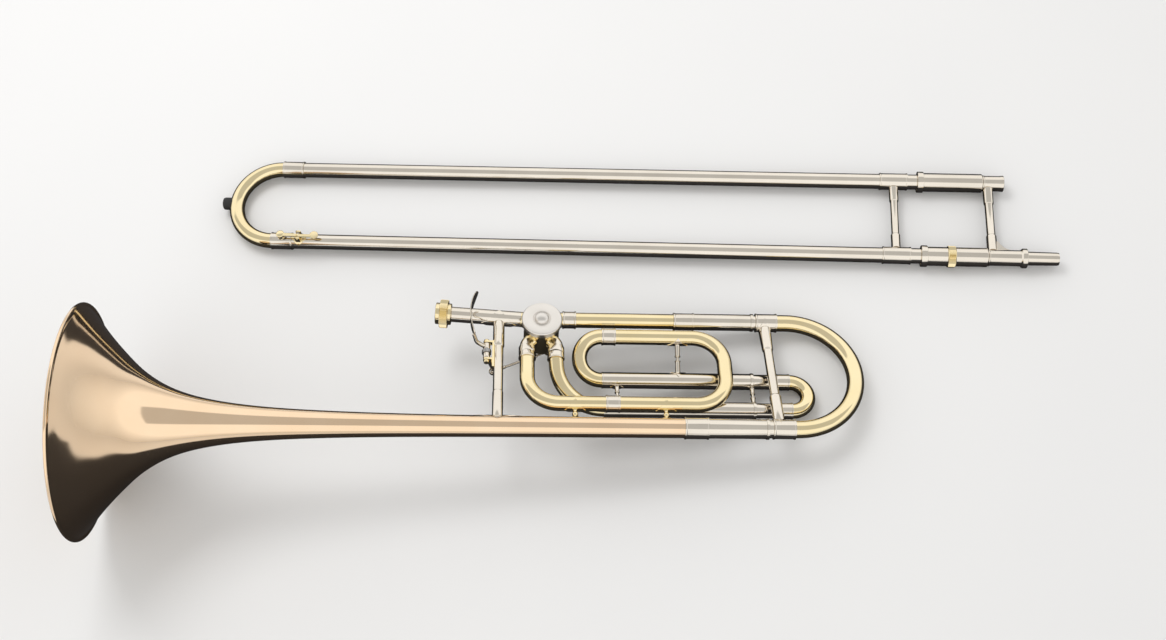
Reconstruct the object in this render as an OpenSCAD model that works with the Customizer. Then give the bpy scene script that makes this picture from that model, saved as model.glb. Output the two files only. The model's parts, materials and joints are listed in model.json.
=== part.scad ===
// Large-bore tenor trombone with an F attachment, taken apart into its bell section and its
// hand slide, both lying on one flat floor at z = 0. Millimetres, +Z up.
//
// The bell section has its own frame: +X runs along the bell axis from the rim (x = 0) to the
// main crook, the bell axis is y = 0, the neck line is y = leg_gap and z = 0 is the plane of
// the main tubing. bell_section() lays that frame on the floor. The hand slide has its own
// frame too: +X runs from the slide bow to the tenon, x = 0 is the grip brace.

/* [Bell] */
// Radius of the bell mouth
bell_r = 108; // [100:0.5:110]
// Thickness of the bell's sheet
bell_wall = 0.7; // [0.5:0.1:1]
// Radius of the bell stem where it enters its ferrule
stem_r = 9.1; // [8.8:0.1:9.4]
// Radius of the wire rolled into the rim
rim_wire_r = 1.6; // [1.2:0.1:2]

/* [Main tubing] */
// Distance between the bell axis and the neck line
leg_gap = 123; // [121:0.5:126]
// Outer radius of the valve's output tube and knuckles
neck_r = 7.4; // [7.2:0.1:7.6]
// Outer radius of the main tuning crook
crook_r = 8.1; // [7.9:0.1:8.3]
// Wall of every drawn tube
wall = 0.6; // [0.5:0.05:0.7]
// How far the end of the main crook's straight part lies from the rim
crook_x = 655.5; // [653:0.5:658]

/* [Rotary valve] */
// Distance of the rotor axis from the rim, along the bell axis
valve_x = 417; // [415.5:0.5:418.5]
// How far the rotor axis lies inside the neck line
valve_in = 13.6; // [13.4:0.1:14.4]
// Bore radius of the valve casing
valve_bore_r = 15; // [14.8:0.1:15.1]
// Radius of the screw cap
cap_r = 19.3; // [18.6:0.1:19.6]

/* [F attachment] */
// Outer radius of the F tubing
f_r = 7.2; // [7:0.05:7.25]
// Outer radius of the F slide's outer legs
f_leg_r = 7.8; // [7.7:0.05:7.85]
// Depth of the F slide's legs below the main plane
f_drop = 16.3; // [16.2:0.1:17]

/* [Hand slide] */
// Distance between the two slide tubes
slide_gap = 87; // [84:0.5:90]
// Length of the outer slide tubes
outer_len = 670; // [640:5:690]
// Outer radius of the outer slide tubes
outer_r = 7.7; // [7.6:0.05:7.8]
// Outer radius of the collars on the cork barrels, which the slide lies on
collar_r = 10.8; // [10.4:0.1:11]

/* [Lying on the floor] */
// Roll of the bell section about its own bell axis, valve side down
rest_roll = -10; // [-10:0.5:-10]
// Fall of the bell section from the bell to the crook
rest_tilt = 6.369; // [6.369:0.001:6.369]
// Turn of the hand slide on the floor
slide_yaw = -4; // [-6:0.5:0]

/* [Hidden] */
$fn = 64;

// Running clearance of a piece that slides or turns in another, on the radius.
slip = 0.05;
// Air left between pieces that pass each other.
air = 0.4;
// How far a cutting solid reaches past the face that it cuts.
over = 1;
// Length of a cutting solid that only has to be long enough.
deep = 40;
ferrule_t = 0.8;
// How far the ring on a tube's end stands out from the tube.
ring_t = 0.6;
// Film of solder between a flange and the stem that it is wrapped on.
leaf_gap = 0.02;
// Thickness of the big flanges at the hand brace's ends.
brace_leaf_t = 0.8;

nickel = [0.80, 0.76, 0.70];
lacquer = [0.85, 0.75, 0.45];
rose = [0.82, 0.60, 0.42];
satin = [0.82, 0.80, 0.79];
dark = [0.12, 0.11, 0.11];

// ---------------------------------------------------------------- stations of the bell section
rim_end_x = 2 * rim_wire_r;
stem_end_x = 559;
bell_ferrule_x = 549;
bell_outer_x = 566;
bell_outer_end_x = 628;
neck_ferrule_x = 545.5;
neck_outer_x = 565.5;
neck_outer_end_x = 624;
output_x = 441.5;
output_end_x = 450.5;
ring_len = 3;
// The main slide's crook ferrules, and how deep its legs sit in the outer tubes.
tuning_neck_x = 626;
tuning_bell_x = 631.5;
tuning_bell_leg_x = 578;
tuning_leg_start_x = 574;
crook_ferrule_end_x = 647;
crook_start_x = crook_ferrule_end_x - 5;
tuning_neck_r = 8.8;
tuning_bell_r = 9.1;
tuning_bell_end_x = 652.5;
// The brace leans: where it stands on the bell side and on the neck side.
tuning_brace_x = 638.5;
tuning_brace_top_x = 634.5;
tuning_waist_y = 37;
// Bores of the outer tubes that the main slide's legs run in.
neck_bore_r = 7.5;
bell_bore_r = 8.5;
bell_outer_r = 9.2;
neck_outer_r = 8.1;
bell_ferrule_r = 9.9;
neck_ferrule_r = 8.3;
// How deep a tube sits in a ferrule.
seat_len = 10;

// ---------------------------------------------------------------- valve
valve_y = leg_gap - valve_in;
casing_r = valve_bore_r + 2;
casing_bottom_z = -16;
casing_top_z = 17;
rotor_half = 12;
bearing_t = 3;
spindle_r = 3;
port_bore_r = 6;
cap_top_z = 20.5;
cap_skirt_z = 14.5;
knob_r = 7;
cap_dome_r = 10;
// A knuckle leaves the casing at port_angle from its own tube's direction, then bends into that
// tube. The output's bend ends on the neck line, and the two F ports bend alike.
port_angle = 38.5;
knuckle_out = casing_r + 1.5;
knuckle_bend_r = (valve_in - knuckle_out * sin(port_angle)) / (1 - cos(port_angle));
knuckle_side = valve_in;
knuckle_run = knuckle_out * cos(port_angle) + knuckle_bend_r * sin(port_angle);
// The receiver tube is not quite parallel to the bell.
receiver_slope = 4.2;
receiver_turn = port_angle - receiver_slope;
receiver_r = 7.4;
receiver_bore_r = 6.8;
receiver_len = 67.7;
receiver_depth = 30;
thread_r = 8.9;
thread_len = 9;
receiver_start_x = valve_x - knuckle_run + knuckle_bend_r * sin(receiver_slope);

// ---------------------------------------------------------------- stop arm, link and lever
stop_pin_r = 9.5;
stop_arm_top_z = -19;
stop_arm_t = 3;
stop_hub_r = 5.2;
stop_tail_w = 4;
stop_tail_len = 13;
link_z = -25;
lever_x = 364.7;
lever_throw = 30;
lever_down = 26;
lever_lean = lever_throw / 2;
lever_low_y = 79;
lever_pin_x = lever_x + lever_down * sin(lever_lean);
lever_pin_z = -lever_down * cos(lever_lean);
lever_ear_t = 2;
lever_barrel_y = 76;
lever_barrel_len = 17;
lever_barrel_r = 3.4;
lever_ball_r = 2.6;
pivot_r = 1.6;
pivot_bore_r = pivot_r + slip;
link_eye_r = 4.6;
link_eye_t = 2.4;

// ---------------------------------------------------------------- F attachment
f_low_y = 26;
f_high_y = 103.5;
f_leg_high_y = 64;
f_leg_low_y = 31;
f_bend_x = 562;
f_corner_r = 30;
f_ferrule_low_x = 476.7;
f_ferrule_high_x = 475;
f_ferrule_len = 13.5;
f_outer_end_x = 621;
f_slide_ferrule_x = 642.5;
f_slide_crook_x = 656;
f_slide_leg_start_x = 550;
port_y = valve_y - knuckle_run;
port_ferrule_len = 12.5;
first_bend_r = 30;
// Second tube: straight from its port, then one bend into the lower leg.
second_bend_r = 45;
second_start_y = port_y - port_ferrule_len / 2;
second_dx = 3;
second_run = [second_dx, f_leg_low_y - second_start_y, -f_drop];
second_dir = second_run / norm(second_run);
second_turn = acos(second_dir[0]);
second_tangent = second_bend_r * tan(second_turn / 2);
second_end_x = valve_x + knuckle_side + second_dx + second_tangent;
left_crook_r = norm([f_high_y - f_leg_high_y, f_drop]) / 2;
left_crook_lean = atan2(f_drop, f_high_y - f_leg_high_y);

// ---------------------------------------------------------------- hand slide
barrel_x = -71;
barrel_end_x = -5;
barrel_r = 9.5;
collar_len = 6;
barrel_bore_len = 60;
outer_start_x = barrel_x + 8;
outer_bore_r = 7.4;
stocking_r = outer_bore_r - slip;
inner_r = 7.25;
slide_bore_r = 6.95;
outer_end_x = outer_start_x - outer_len;
inner_end_x = outer_end_x + 10;
stocking_len = 120;
outer_brace_x = -95;
bow_sleeve_len = 22;

// Where each section lies: its frame's origin in the floor's frame.
bell_lift = (bell_r - rim_wire_r) * cos(rest_tilt) + rim_wire_r * (1 + sin(rest_tilt));
bell_place = [-456.7, -113.1, bell_lift];
slide_place = [407.3, 117.9, collar_r];

// ---------------------------------------------------------------- helpers
module bell_section() {
    translate(bell_place) rotate([rest_roll, rest_tilt, 0]) children();
}
module hand_slide() { translate(slide_place) rotate([0, 0, slide_yaw]) children(); }
module along_x(x, y = 0, z = 0) { translate([x, y, z]) rotate([0, 90, 0]) children(); }
module along_y(x, y = 0, z = 0) { translate([x, y, z]) rotate([-90, 0, 0]) children(); }

// A straight hollow tube along +Z.
module tube(len, outer, inner) {
    difference() {
        cylinder(h = len, r = outer);
        translate([0, 0, -over]) cylinder(h = len + 2 * over, r = inner);
    }
}
// A round rod between two points.
module strut(a, b, r) {
    d = b - a;
    translate(a) rotate([0, acos(d[2] / norm(d)), atan2(d[1], d[0])])
        cylinder(h = norm(d), r = r);
}
// A bend that starts along +Z and turns towards +X.
module bend(turn_r, angle, outer, inner = 0) {
    translate([turn_r, 0, 0]) rotate([90, 0, 180]) rotate_extrude(angle = angle)
        translate([turn_r, 0]) difference() {
            circle(r = outer);
            if (inner > 0) circle(r = inner);
        }
}
// A diamond outline, long along X.
module diamond(len, width) {
    polygon([[-len / 2, 0], [0, -width / 2], [len / 2, 0], [0, width / 2]]);
}
// A thin flange wrapped on a tube that runs along X at the origin, facing +Z. A tube that tapers
// has tube_r at the flange's first tip and end_r at its other tip.
module saddle(tube_r, len, width, t = 0.7, end_r = 0) {
    last_r = end_r > 0 ? end_r : tube_r;
    intersection() {
        along_x(-len / 2) difference() {
            cylinder(h = len, r1 = tube_r + t, r2 = last_r + t);
            cylinder(h = len, r1 = tube_r, r2 = last_r);
        }
        linear_extrude(tube_r + t + over) diamond(len, width);
    }
}
// The same flange on the bell's stem, at a distance from the rim, facing the neck line.
module stem_saddle(x, len, width, t = 0.7) {
    translate([x, 0, 0]) rotate([-90, 0, 0])
        saddle(bell_at(x - len / 2) + leaf_gap, len, width, t, bell_at(x + len / 2) + leaf_gap);
}
// A tube sleeve with a raised ring at its +Z end.
module ringed_tube(len, outer, inner) {
    tube(len - ring_len, outer, inner);
    translate([0, 0, len - ring_len]) tube(ring_len, outer + ring_t, inner);
}
// A wire coil of round turns along +Z, open at both ends.
module coil(coil_r, wire_r, pitch, turns) {
    sides = 8;
    steps = 20;
    count = turns * steps;
    rings = [for (i = [0:count])
        let (a = 360 * i / steps, z = pitch * i / steps)
        [for (k = [0:sides - 1])
            let (b = 360 * k / sides, d = coil_r + wire_r * cos(b))
            [d * cos(a), d * sin(a), z + wire_r * sin(b)]]];
    points = [for (ring = rings) each ring];
    walls = [for (i = [0:count - 1], k = [0:sides - 1])
        let (n = (k + 1) % sides)
        [i * sides + k, (i + 1) * sides + k, (i + 1) * sides + n, i * sides + n]];
    first = [for (k = [0:sides - 1]) k];
    last = [for (k = [sides - 1:-1:0]) count * sides + k];
    polyhedron(points, concat(walls, [first, last]));
}

// ---------------------------------------------------------------- bell
// Stations of the bell's outline: distance from the rim, outer radius.
bell_stations = [
    [-12, 124], [rim_end_x, bell_r - 4], [10, 94.5], [20, 82], [35, 65.5], [55, 46.5],
    [80, 31.7], [110, 22.6], [150, 16.7], [200, 13.3], [280, 10.9], [400, 9.7],
    [stem_end_x, stem_r], [stem_end_x + 150, stem_r - 0.5]
];
bell_steps = 5;
// Cubic curve through four stations with uneven spacing.
function slope(s, i) = (s[i + 1][1] - s[i - 1][1]) / (s[i + 1][0] - s[i - 1][0]);
function curve(s, i, t) =
    let (w = s[i + 1][0] - s[i][0])
    (2 * t ^ 3 - 3 * t ^ 2 + 1) * s[i][1] + (t ^ 3 - 2 * t ^ 2 + t) * w * slope(s, i)
    + (3 * t ^ 2 - 2 * t ^ 3) * s[i + 1][1] + (t ^ 3 - t ^ 2) * w * slope(s, i + 1);
function outline(s) = concat(
    [for (i = [1:len(s) - 3], k = [0:bell_steps - 1])
        let (t = k / bell_steps)
        [s[i][0] + t * (s[i + 1][0] - s[i][0]), curve(s, i, t)]],
    [s[len(s) - 2]]);
// Outer radius of the bell or its stem at a distance from the rim.
function bell_at(x, i = 1) =
    x > bell_stations[i + 1][0] ? bell_at(x, i + 1)
    : curve(bell_stations, i, (x - bell_stations[i][0]) / (bell_stations[i + 1][0] - bell_stations[i][0]));

module bell_flare() {
    line = outline(bell_stations);
    far = len(line) - 1;
    color(rose) bell_section() rotate([0, 90, 0]) rotate([0, 0, 90]) rotate_extrude()
        polygon(concat(
            [for (p = line) [p[1], p[0]]],
            [for (i = [far:-1:0]) [line[i][1] - bell_wall, line[i][0]]]));
}
module bell_rim_wire() {
    color(rose) bell_section() along_x(rim_wire_r)
        rotate_extrude() translate([bell_r - rim_wire_r, 0]) circle(r = rim_wire_r);
}
module bell_ferrule() {
    color(nickel) bell_section() difference() {
        along_x(bell_ferrule_x) cylinder(h = bell_outer_x - bell_ferrule_x + 5.5, r = bell_ferrule_r);
        along_x(bell_ferrule_x - over)
            cylinder(h = stem_end_x - bell_ferrule_x + over, r = bell_at(bell_ferrule_x) + leaf_gap);
        along_x(stem_end_x - over) cylinder(h = deep, r = bell_bore_r);
        along_x(bell_outer_x) cylinder(h = deep, r = bell_outer_r);
    }
}
module bell_outer_tube() {
    color(nickel) bell_section() along_x(bell_outer_x)
        ringed_tube(bell_outer_end_x - bell_outer_x, bell_outer_r, bell_bore_r);
}
module neck_outer_tube() {
    color(nickel) bell_section() along_x(neck_outer_x, leg_gap)
        ringed_tube(neck_outer_end_x - neck_outer_x, neck_outer_r, neck_bore_r);
}
module neck_ferrule() {
    color(nickel) bell_section() difference() {
        along_x(neck_ferrule_x, leg_gap) cylinder(h = neck_outer_x - neck_ferrule_x, r = neck_ferrule_r);
        along_x(neck_ferrule_x - over, leg_gap) cylinder(h = seat_len + over, r = neck_r);
        along_x(neck_ferrule_x, leg_gap) cylinder(h = deep, r = neck_r - wall);
    }
}
module output_tube() {
    color(lacquer) bell_section() along_x(output_x, leg_gap)
        tube(neck_ferrule_x + seat_len - output_x, neck_r, neck_r - wall);
}
module output_ferrule() {
    start = valve_x + knuckle_run;
    color(nickel) bell_section() difference() {
        along_x(start, leg_gap) cylinder(h = output_end_x - start, r = neck_r + ferrule_t);
        along_x(output_x, leg_gap) cylinder(h = deep, r = neck_r);
        along_x(start - over, leg_gap) cylinder(h = deep, r = port_bore_r);
    }
}

// ---------------------------------------------------------------- receiver and nut
// Puts +Z along the receiver tube, from the end of its knuckle towards the nut.
module receiver_frame() {
    translate([valve_x, valve_y, 0]) rotate([0, 0, 180 - port_angle]) translate([knuckle_out, 0, 0])
        rotate([0, 90, 0]) rotate([0, 0, 90]) translate([knuckle_bend_r, 0, 0])
        rotate([0, receiver_turn, 0]) translate([-knuckle_bend_r, 0, 0]) children();
}
module receiver_tube() {
    color(nickel) bell_section() receiver_frame() difference() {
        union() {
            cylinder(h = receiver_len, r = receiver_r);
            translate([0, 0, receiver_len]) cylinder(h = thread_len, r = thread_r);
        }
        translate([0, 0, -over]) cylinder(h = receiver_len, r = port_bore_r);
        translate([0, 0, receiver_len - receiver_depth]) cylinder(h = 2 * deep, r = receiver_bore_r);
    }
}
nut_len = 15;
nut_shoulder_r = 10.4;
nut_bore_r = 8.2;
nut_knurl_r = 13.8;
nut_knurl_z = 2.5;
nut_knurl_len = 9;
nut_knurls = 36;
module lock_nut() {
    base = receiver_len + air;
    color(lacquer) bell_section() receiver_frame() difference() {
        union() {
            translate([0, 0, base]) cylinder(h = nut_len, r = nut_shoulder_r);
            translate([0, 0, base + nut_knurl_z]) cylinder(h = nut_knurl_len, r = nut_knurl_r);
        }
        translate([0, 0, base - over]) cylinder(h = thread_len + over, r = thread_r + slip);
        translate([0, 0, base]) cylinder(h = deep, r = nut_bore_r);
        for (i = [1:nut_knurls]) rotate([0, 0, 360 * i / nut_knurls])
            translate([nut_knurl_r + 0.5, 0, base]) cylinder(h = nut_len, r = 0.9);
    }
}

// ---------------------------------------------------------------- hand brace
brace_x = 376;
brace_stem_r = 5.1;
brace_waist_r = 4.7;
brace_neck_r = 5.5;
brace_neck_y = 90;
brace_leaf_len = 50;
module hand_brace() {
    color(nickel) bell_section() difference() {
        union() {
            along_y(brace_x, stem_r) cylinder(h = 29, r = brace_stem_r);
            along_y(brace_x, stem_r) cylinder(h = brace_neck_y - stem_r, r = brace_waist_r);
            along_y(brace_x, brace_neck_y) cylinder(h = leg_gap - brace_neck_y, r = brace_neck_r);
        }
        along_x(brace_x - brace_leaf_len / 2) cylinder(h = brace_leaf_len,
            r1 = bell_at(brace_x - brace_leaf_len / 2) + leaf_gap + brace_leaf_t,
            r2 = bell_at(brace_x + brace_leaf_len / 2) + leaf_gap + brace_leaf_t);
        receiver_frame() cylinder(h = receiver_len, r = receiver_r + brace_leaf_t);
    }
}
module hand_brace_flanges() {
    color(nickel) bell_section() {
        stem_saddle(brace_x, brace_leaf_len, 15, brace_leaf_t);
        receiver_frame() translate([0, 0, (receiver_start_x - brace_x) / cos(receiver_slope)])
            rotate([0, 90, 0]) saddle(receiver_r, 30, 2 * (receiver_r + brace_leaf_t), brace_leaf_t);
    }
}

// ---------------------------------------------------------------- rotary valve
// Puts the origin on the rotor axis in the main plane.
module valve_frame() { translate([valve_x, valve_y, 0]) children(); }
// One port: straight out from the rotor axis, then a bend; side is 1 for a left turn, -1 for right.
module port(angle, side, turn, r) {
    rotate([0, 0, angle]) rotate([0, 90, 0]) {
        translate([0, 0, 9]) cylinder(h = knuckle_out - 9, r = r);
        translate([0, 0, knuckle_out]) rotate([0, 0, side * 90]) bend(knuckle_bend_r, turn, r);
    }
}
module ports(r) {
    port(180 - port_angle, 1, receiver_turn, r);
    port(port_angle, -1, port_angle, r);
    port(270 - port_angle, 1, port_angle, r);
    port(270 + port_angle, -1, port_angle, r);
}
module valve_casing() {
    color(lacquer) bell_section() valve_frame() difference() {
        union() {
            translate([0, 0, casing_bottom_z]) cylinder(h = casing_top_z - casing_bottom_z, r = casing_r);
            ports(neck_r);
        }
        translate([0, 0, -rotor_half - slip]) cylinder(h = deep, r = valve_bore_r);
        translate([0, 0, casing_bottom_z - over]) cylinder(h = deep, r = spindle_r + slip);
        ports(port_bore_r);
    }
}
module valve_rotor() {
    color(lacquer) bell_section() valve_frame() difference() {
        union() {
            translate([0, 0, -rotor_half]) cylinder(h = 2 * rotor_half, r = valve_bore_r - slip);
            translate([0, 0, stop_arm_top_z])
                cylinder(h = rotor_half + bearing_t - stop_arm_top_z, r = spindle_r);
        }
        // two curved passages, each joining two neighbouring ports
        for (side = [0, 180]) rotate([0, 0, side]) translate([0, valve_bore_r * sqrt(2), 0])
            rotate_extrude() translate([valve_bore_r, 0]) circle(r = port_bore_r - air);
    }
}
module bearing_plate() {
    color(lacquer) bell_section() valve_frame() translate([0, 0, rotor_half + slip])
        tube(bearing_t, valve_bore_r - slip, spindle_r + slip);
}
module valve_cap() {
    color(satin) bell_section() valve_frame() difference() {
        union() {
            translate([0, 0, cap_skirt_z]) cylinder(h = cap_top_z - cap_skirt_z - 1, r = cap_r);
            translate([0, 0, cap_top_z - 1]) cylinder(h = 1, r1 = cap_r, r2 = cap_r - 1);
            translate([0, 0, cap_top_z]) intersection() {
                cylinder(h = cap_dome_r / 2, r = knob_r);
                translate([0, 0, -cap_dome_r / 2]) sphere(r = cap_dome_r);
            }
        }
        translate([0, 0, cap_skirt_z - over]) cylinder(h = casing_top_z - cap_skirt_z + over,
            r = casing_r + slip);
    }
}
module stop_arm() {
    color(lacquer) bell_section() valve_frame() translate([0, 0, stop_arm_top_z - stop_arm_t])
        rotate([0, 0, -45]) {
            cylinder(h = stop_arm_t, r = stop_hub_r);
            translate([0, -stop_tail_w / 2, 0]) cube([stop_pin_r, stop_tail_w, stop_arm_t]);
            translate([stop_pin_r, 0, 0]) cylinder(h = stop_arm_t, r = 3);
            translate([-stop_tail_len, -stop_tail_w / 2, 0]) cube([stop_tail_len, stop_tail_w, stop_arm_t]);
        }
}
module stop_arm_screw() {
    head_t = 2;
    slot_w = 0.8;
    color(nickel) bell_section() valve_frame() translate([0, 0, stop_arm_top_z - stop_arm_t - head_t])
        difference() {
            cylinder(h = head_t, r = spindle_r);
            translate([-spindle_r - over, -slot_w / 2, -over])
                cube([2 * (spindle_r + over), slot_w, over + slot_w]);
        }
}
// The stops stand where the arm's tail meets them at both ends of its quarter turn.
stop_at_r = 11;
stop_bumper_r = 2.5;
stop_lead = (stop_tail_w / 2 + stop_bumper_r + air) / stop_at_r * 180 / PI;
stop_angles = [135 + stop_lead, 45 - stop_lead];
stop_plate_r = 15.5;
stop_plate_t = 2;
module stop_plate() {
    color(lacquer) bell_section() valve_frame() translate([0, 0, casing_bottom_z - stop_plate_t])
        difference() {
            intersection() {
                cylinder(h = stop_plate_t, r = stop_plate_r);
                translate([-stop_plate_r, -over, 0])
                    cube([2 * stop_plate_r, stop_plate_r + over, stop_plate_t]);
            }
            translate([0, 0, -over]) cylinder(h = stop_plate_t + 2 * over, r = stop_hub_r + 2 * air);
        }
}
module stop_bumpers() {
    color(dark) bell_section() valve_frame() for (a = stop_angles) rotate([0, 0, a])
        translate([stop_at_r, 0, stop_arm_top_z - stop_arm_t]) cylinder(h = 4, r = stop_bumper_r);
}

// ---------------------------------------------------------------- thumb lever and link
stop_pin = [valve_x + stop_pin_r * cos(45), valve_y - stop_pin_r * sin(45)];
module link_rod() {
    a = [lever_pin_x, lever_low_y, link_z];
    b = [stop_pin[0], stop_pin[1], link_z];
    way = (b - a) / norm(b - a);
    color(nickel) bell_section() {
        difference() {
            translate([a[0], a[1], link_z - link_eye_t / 2]) cylinder(h = link_eye_t, r = link_eye_r);
            translate([a[0], a[1], link_z - 5]) cylinder(h = 10, r = lever_ball_r + 0.6);
        }
        difference() {
            union() {
                strut(a + 4 * way, b - 3 * way, 1);
                strut(a + 9 * way, b - 14 * way, 1.7);
                translate([b[0], b[1], link_z - link_eye_t / 2]) cylinder(h = link_eye_t, r = 3.6);
                translate([b[0], b[1], link_z - 3]) cylinder(h = 2, r = 2.4);
            }
            translate([a[0], a[1], link_z - 5]) cylinder(h = 10, r = link_eye_r);
        }
    }
}
// The paddle is a strip bent round an upright axis, with rounded ends.
paddle_r = 62;
paddle_t = 1.6;
paddle_x = lever_x - 15.5;
paddle_y = 114;
paddle_z = 22;
paddle_end_r = 8;
paddle_half = 17.5;
paddle_depth = 24;
module paddle() {
    intersection() {
        translate([paddle_x + paddle_r, paddle_y - 2, paddle_z - paddle_depth / 2]) difference() {
            cylinder(h = paddle_depth, r = paddle_r + paddle_t / 2, $fn = 180);
            translate([0, 0, -over])
                cylinder(h = paddle_depth + 2 * over, r = paddle_r - paddle_t / 2, $fn = 180);
        }
        translate([paddle_x - paddle_end_r, paddle_y, paddle_z]) rotate([0, 90, 0]) {
            for (s = [-1, 1]) translate([0, s * paddle_half, 0])
                cylinder(h = paddle_depth, r = paddle_end_r);
            translate([-paddle_end_r, -paddle_half, 0])
                cube([2 * paddle_end_r, 2 * paddle_half, paddle_depth]);
        }
    }
}
module thumb_lever() {
    top = [lever_x - 13.6, 92, 18];
    elbow = [lever_x - 10, 89, 9];
    color(nickel) bell_section() difference() {
        union() {
            paddle();
            // arm from the paddle down to the barrel
            strut(top, elbow, 2);
            translate(elbow) sphere(r = 2);
            strut(elbow, [lever_x, elbow[1], 0], 2.2);
            along_y(lever_x, lever_barrel_y) cylinder(h = lever_barrel_len, r = lever_barrel_r);
            // arm down to the link
            strut([lever_x, lever_low_y, 0], [lever_pin_x, lever_low_y, lever_pin_z], 1.8);
            translate([lever_pin_x, lever_low_y, lever_pin_z]) sphere(r = lever_ball_r);
        }
        along_y(lever_x, lever_barrel_y - over) cylinder(h = lever_barrel_len + 2 * over, r = pivot_bore_r);
    }
}
ear_low_y = lever_barrel_y - air - lever_ear_t;
ear_high_y = lever_barrel_y + lever_barrel_len + air;
module lever_pivot() {
    color(lacquer) bell_section() {
        along_y(lever_x, ear_low_y - 0.5) cylinder(h = ear_high_y - ear_low_y + lever_ear_t + 1, r = pivot_r);
        along_y(lever_x, ear_high_y + lever_ear_t) cylinder(h = 2.4, r1 = 3.1, r2 = 2.2);
        along_y(lever_x, ear_low_y - 2.4) cylinder(h = 2.4, r = 2.8);
    }
}
bracket_foot = 9;
module lever_bracket() {
    color(lacquer) bell_section() difference() {
        union() {
            for (y = [ear_low_y, ear_high_y]) {
                along_y(lever_x, y) cylinder(h = lever_ear_t, r = 3.2);
                translate([lever_x, y, -2.2]) cube([8, lever_ear_t, 4.4]);
            }
            translate([lever_x + 5.4, ear_low_y - bracket_foot, -3.4])
                cube([4.5, ear_high_y - ear_low_y + lever_ear_t + bracket_foot, 6.8]);
            strut([lever_x + 5.4, ear_low_y + lever_ear_t / 2, 0],
                [lever_x + 7, ear_low_y - bracket_foot + 2, 0], 1.6);
        }
        along_y(lever_x, ear_low_y - over) cylinder(h = deep, r = pivot_r);
        along_y(brace_x, stem_r) cylinder(h = brace_neck_y - stem_r, r = brace_waist_r);
        along_y(brace_x, brace_neck_y) cylinder(h = deep, r = brace_neck_r);
    }
}
module lever_spring() {
    color(satin) bell_section() along_y(lever_x, lever_barrel_y + 5.5)
        coil(lever_barrel_r + air + 0.4, 0.35, 0.9, 4);
}

// ---------------------------------------------------------------- F attachment
module port_ferrules() {
    color(nickel) bell_section() for (side = [-1, 1])
        translate([valve_x + side * knuckle_side, port_y, 0]) rotate([90, 0, 0]) difference() {
            cylinder(h = port_ferrule_len, r1 = f_r + ferrule_t + 0.2, r2 = f_r + ferrule_t);
            translate([0, 0, -over]) cylinder(h = 30, r = port_bore_r);
            if (side < 0) translate([0, 0, port_ferrule_len / 2]) cylinder(h = 30, r = f_r);
            else translate([0, 0, port_ferrule_len / 2])
                second_tilt() cylinder(h = 30, r = f_r);
        }
}
// Turns a frame whose +Z leaves the port towards the second tube's slanting run.
module second_tilt() {
    rotate([atan2(f_drop, -second_run[1]), 0, 0])
        rotate([0, 90 - second_turn, 0]) children();
}
module f_first_tube() {
    x = valve_x - knuckle_side;
    y = port_y - port_ferrule_len / 2;
    down = y - f_low_y - first_bend_r;
    color(lacquer) bell_section() {
        translate([x, y, 0]) rotate([90, 0, 0]) tube(down, f_r, f_r - wall);
        translate([x, f_low_y + first_bend_r, 0]) rotate([90, 0, 0])
            bend(first_bend_r, 90, f_r, f_r - wall);
        along_x(x + first_bend_r, f_low_y)
            tube(f_ferrule_low_x + f_ferrule_len / 2 - x - first_bend_r, f_r, f_r - wall);
    }
}
module f_second_tube() {
    straight = norm(second_run) - second_tangent;
    color(lacquer) bell_section() translate([valve_x + knuckle_side, second_start_y, 0])
        rotate([90, 0, 0]) second_tilt() {
            tube(straight, f_r, f_r - wall);
            translate([0, 0, straight]) bend(second_bend_r, second_turn, f_r, f_r - wall);
        }
}
module f_loop_ferrules() {
    color(nickel) bell_section() {
        along_x(f_ferrule_low_x, f_low_y) tube(f_ferrule_len, f_r + ferrule_t, f_r);
        along_x(f_ferrule_high_x, f_high_y) tube(f_ferrule_len, f_r + ferrule_t, f_r);
    }
}
module f_right_crook() {
    low_x = f_ferrule_low_x + f_ferrule_len / 2;
    high_x = f_ferrule_high_x + f_ferrule_len / 2;
    color(lacquer) bell_section() {
        along_x(low_x, f_low_y) tube(f_bend_x - low_x, f_r, f_r - wall);
        along_x(f_bend_x, f_low_y) rotate([0, 0, 90]) bend(f_corner_r, 90, f_r, f_r - wall);
        along_y(f_bend_x + f_corner_r, f_low_y + f_corner_r)
            tube(f_high_y - f_low_y - 2 * f_corner_r, f_r, f_r - wall);
        along_x(f_bend_x, f_high_y) rotate([0, 0, -90]) bend(f_corner_r, 90, f_r, f_r - wall);
        along_x(high_x, f_high_y) tube(f_bend_x - high_x, f_r, f_r - wall);
    }
}
module f_left_crook() {
    high_x = f_ferrule_high_x;
    color(lacquer) bell_section() translate([high_x, f_high_y, 0]) rotate([left_crook_lean, 0, 0]) {
        along_x(0) tube(f_ferrule_len / 2, f_r, f_r - wall);
        rotate([0, -90, 0]) rotate([0, 0, -90]) bend(left_crook_r, 180, f_r, f_r - wall);
    }
}
module f_leg(x, y) {
    color(nickel) bell_section() along_x(x, y, -f_drop)
        ringed_tube(f_outer_end_x - x, f_leg_r, f_r);
}
module f_upper_leg() { f_leg(f_ferrule_high_x, f_leg_high_y); }
module f_lower_leg() { f_leg(second_end_x, f_leg_low_y); }

// A slim post between two points, waisted in the middle, with a flange on each end.
module post(a, b, r) {
    mid = (a + b) / 2;
    strut(a, mid, r);
    strut(mid, b, r);
    translate(mid) sphere(r = r * 1.35);
}
f_brace_x = 548.5;
leg_brace_x = 489.5;
post_r = 2.4;
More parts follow.
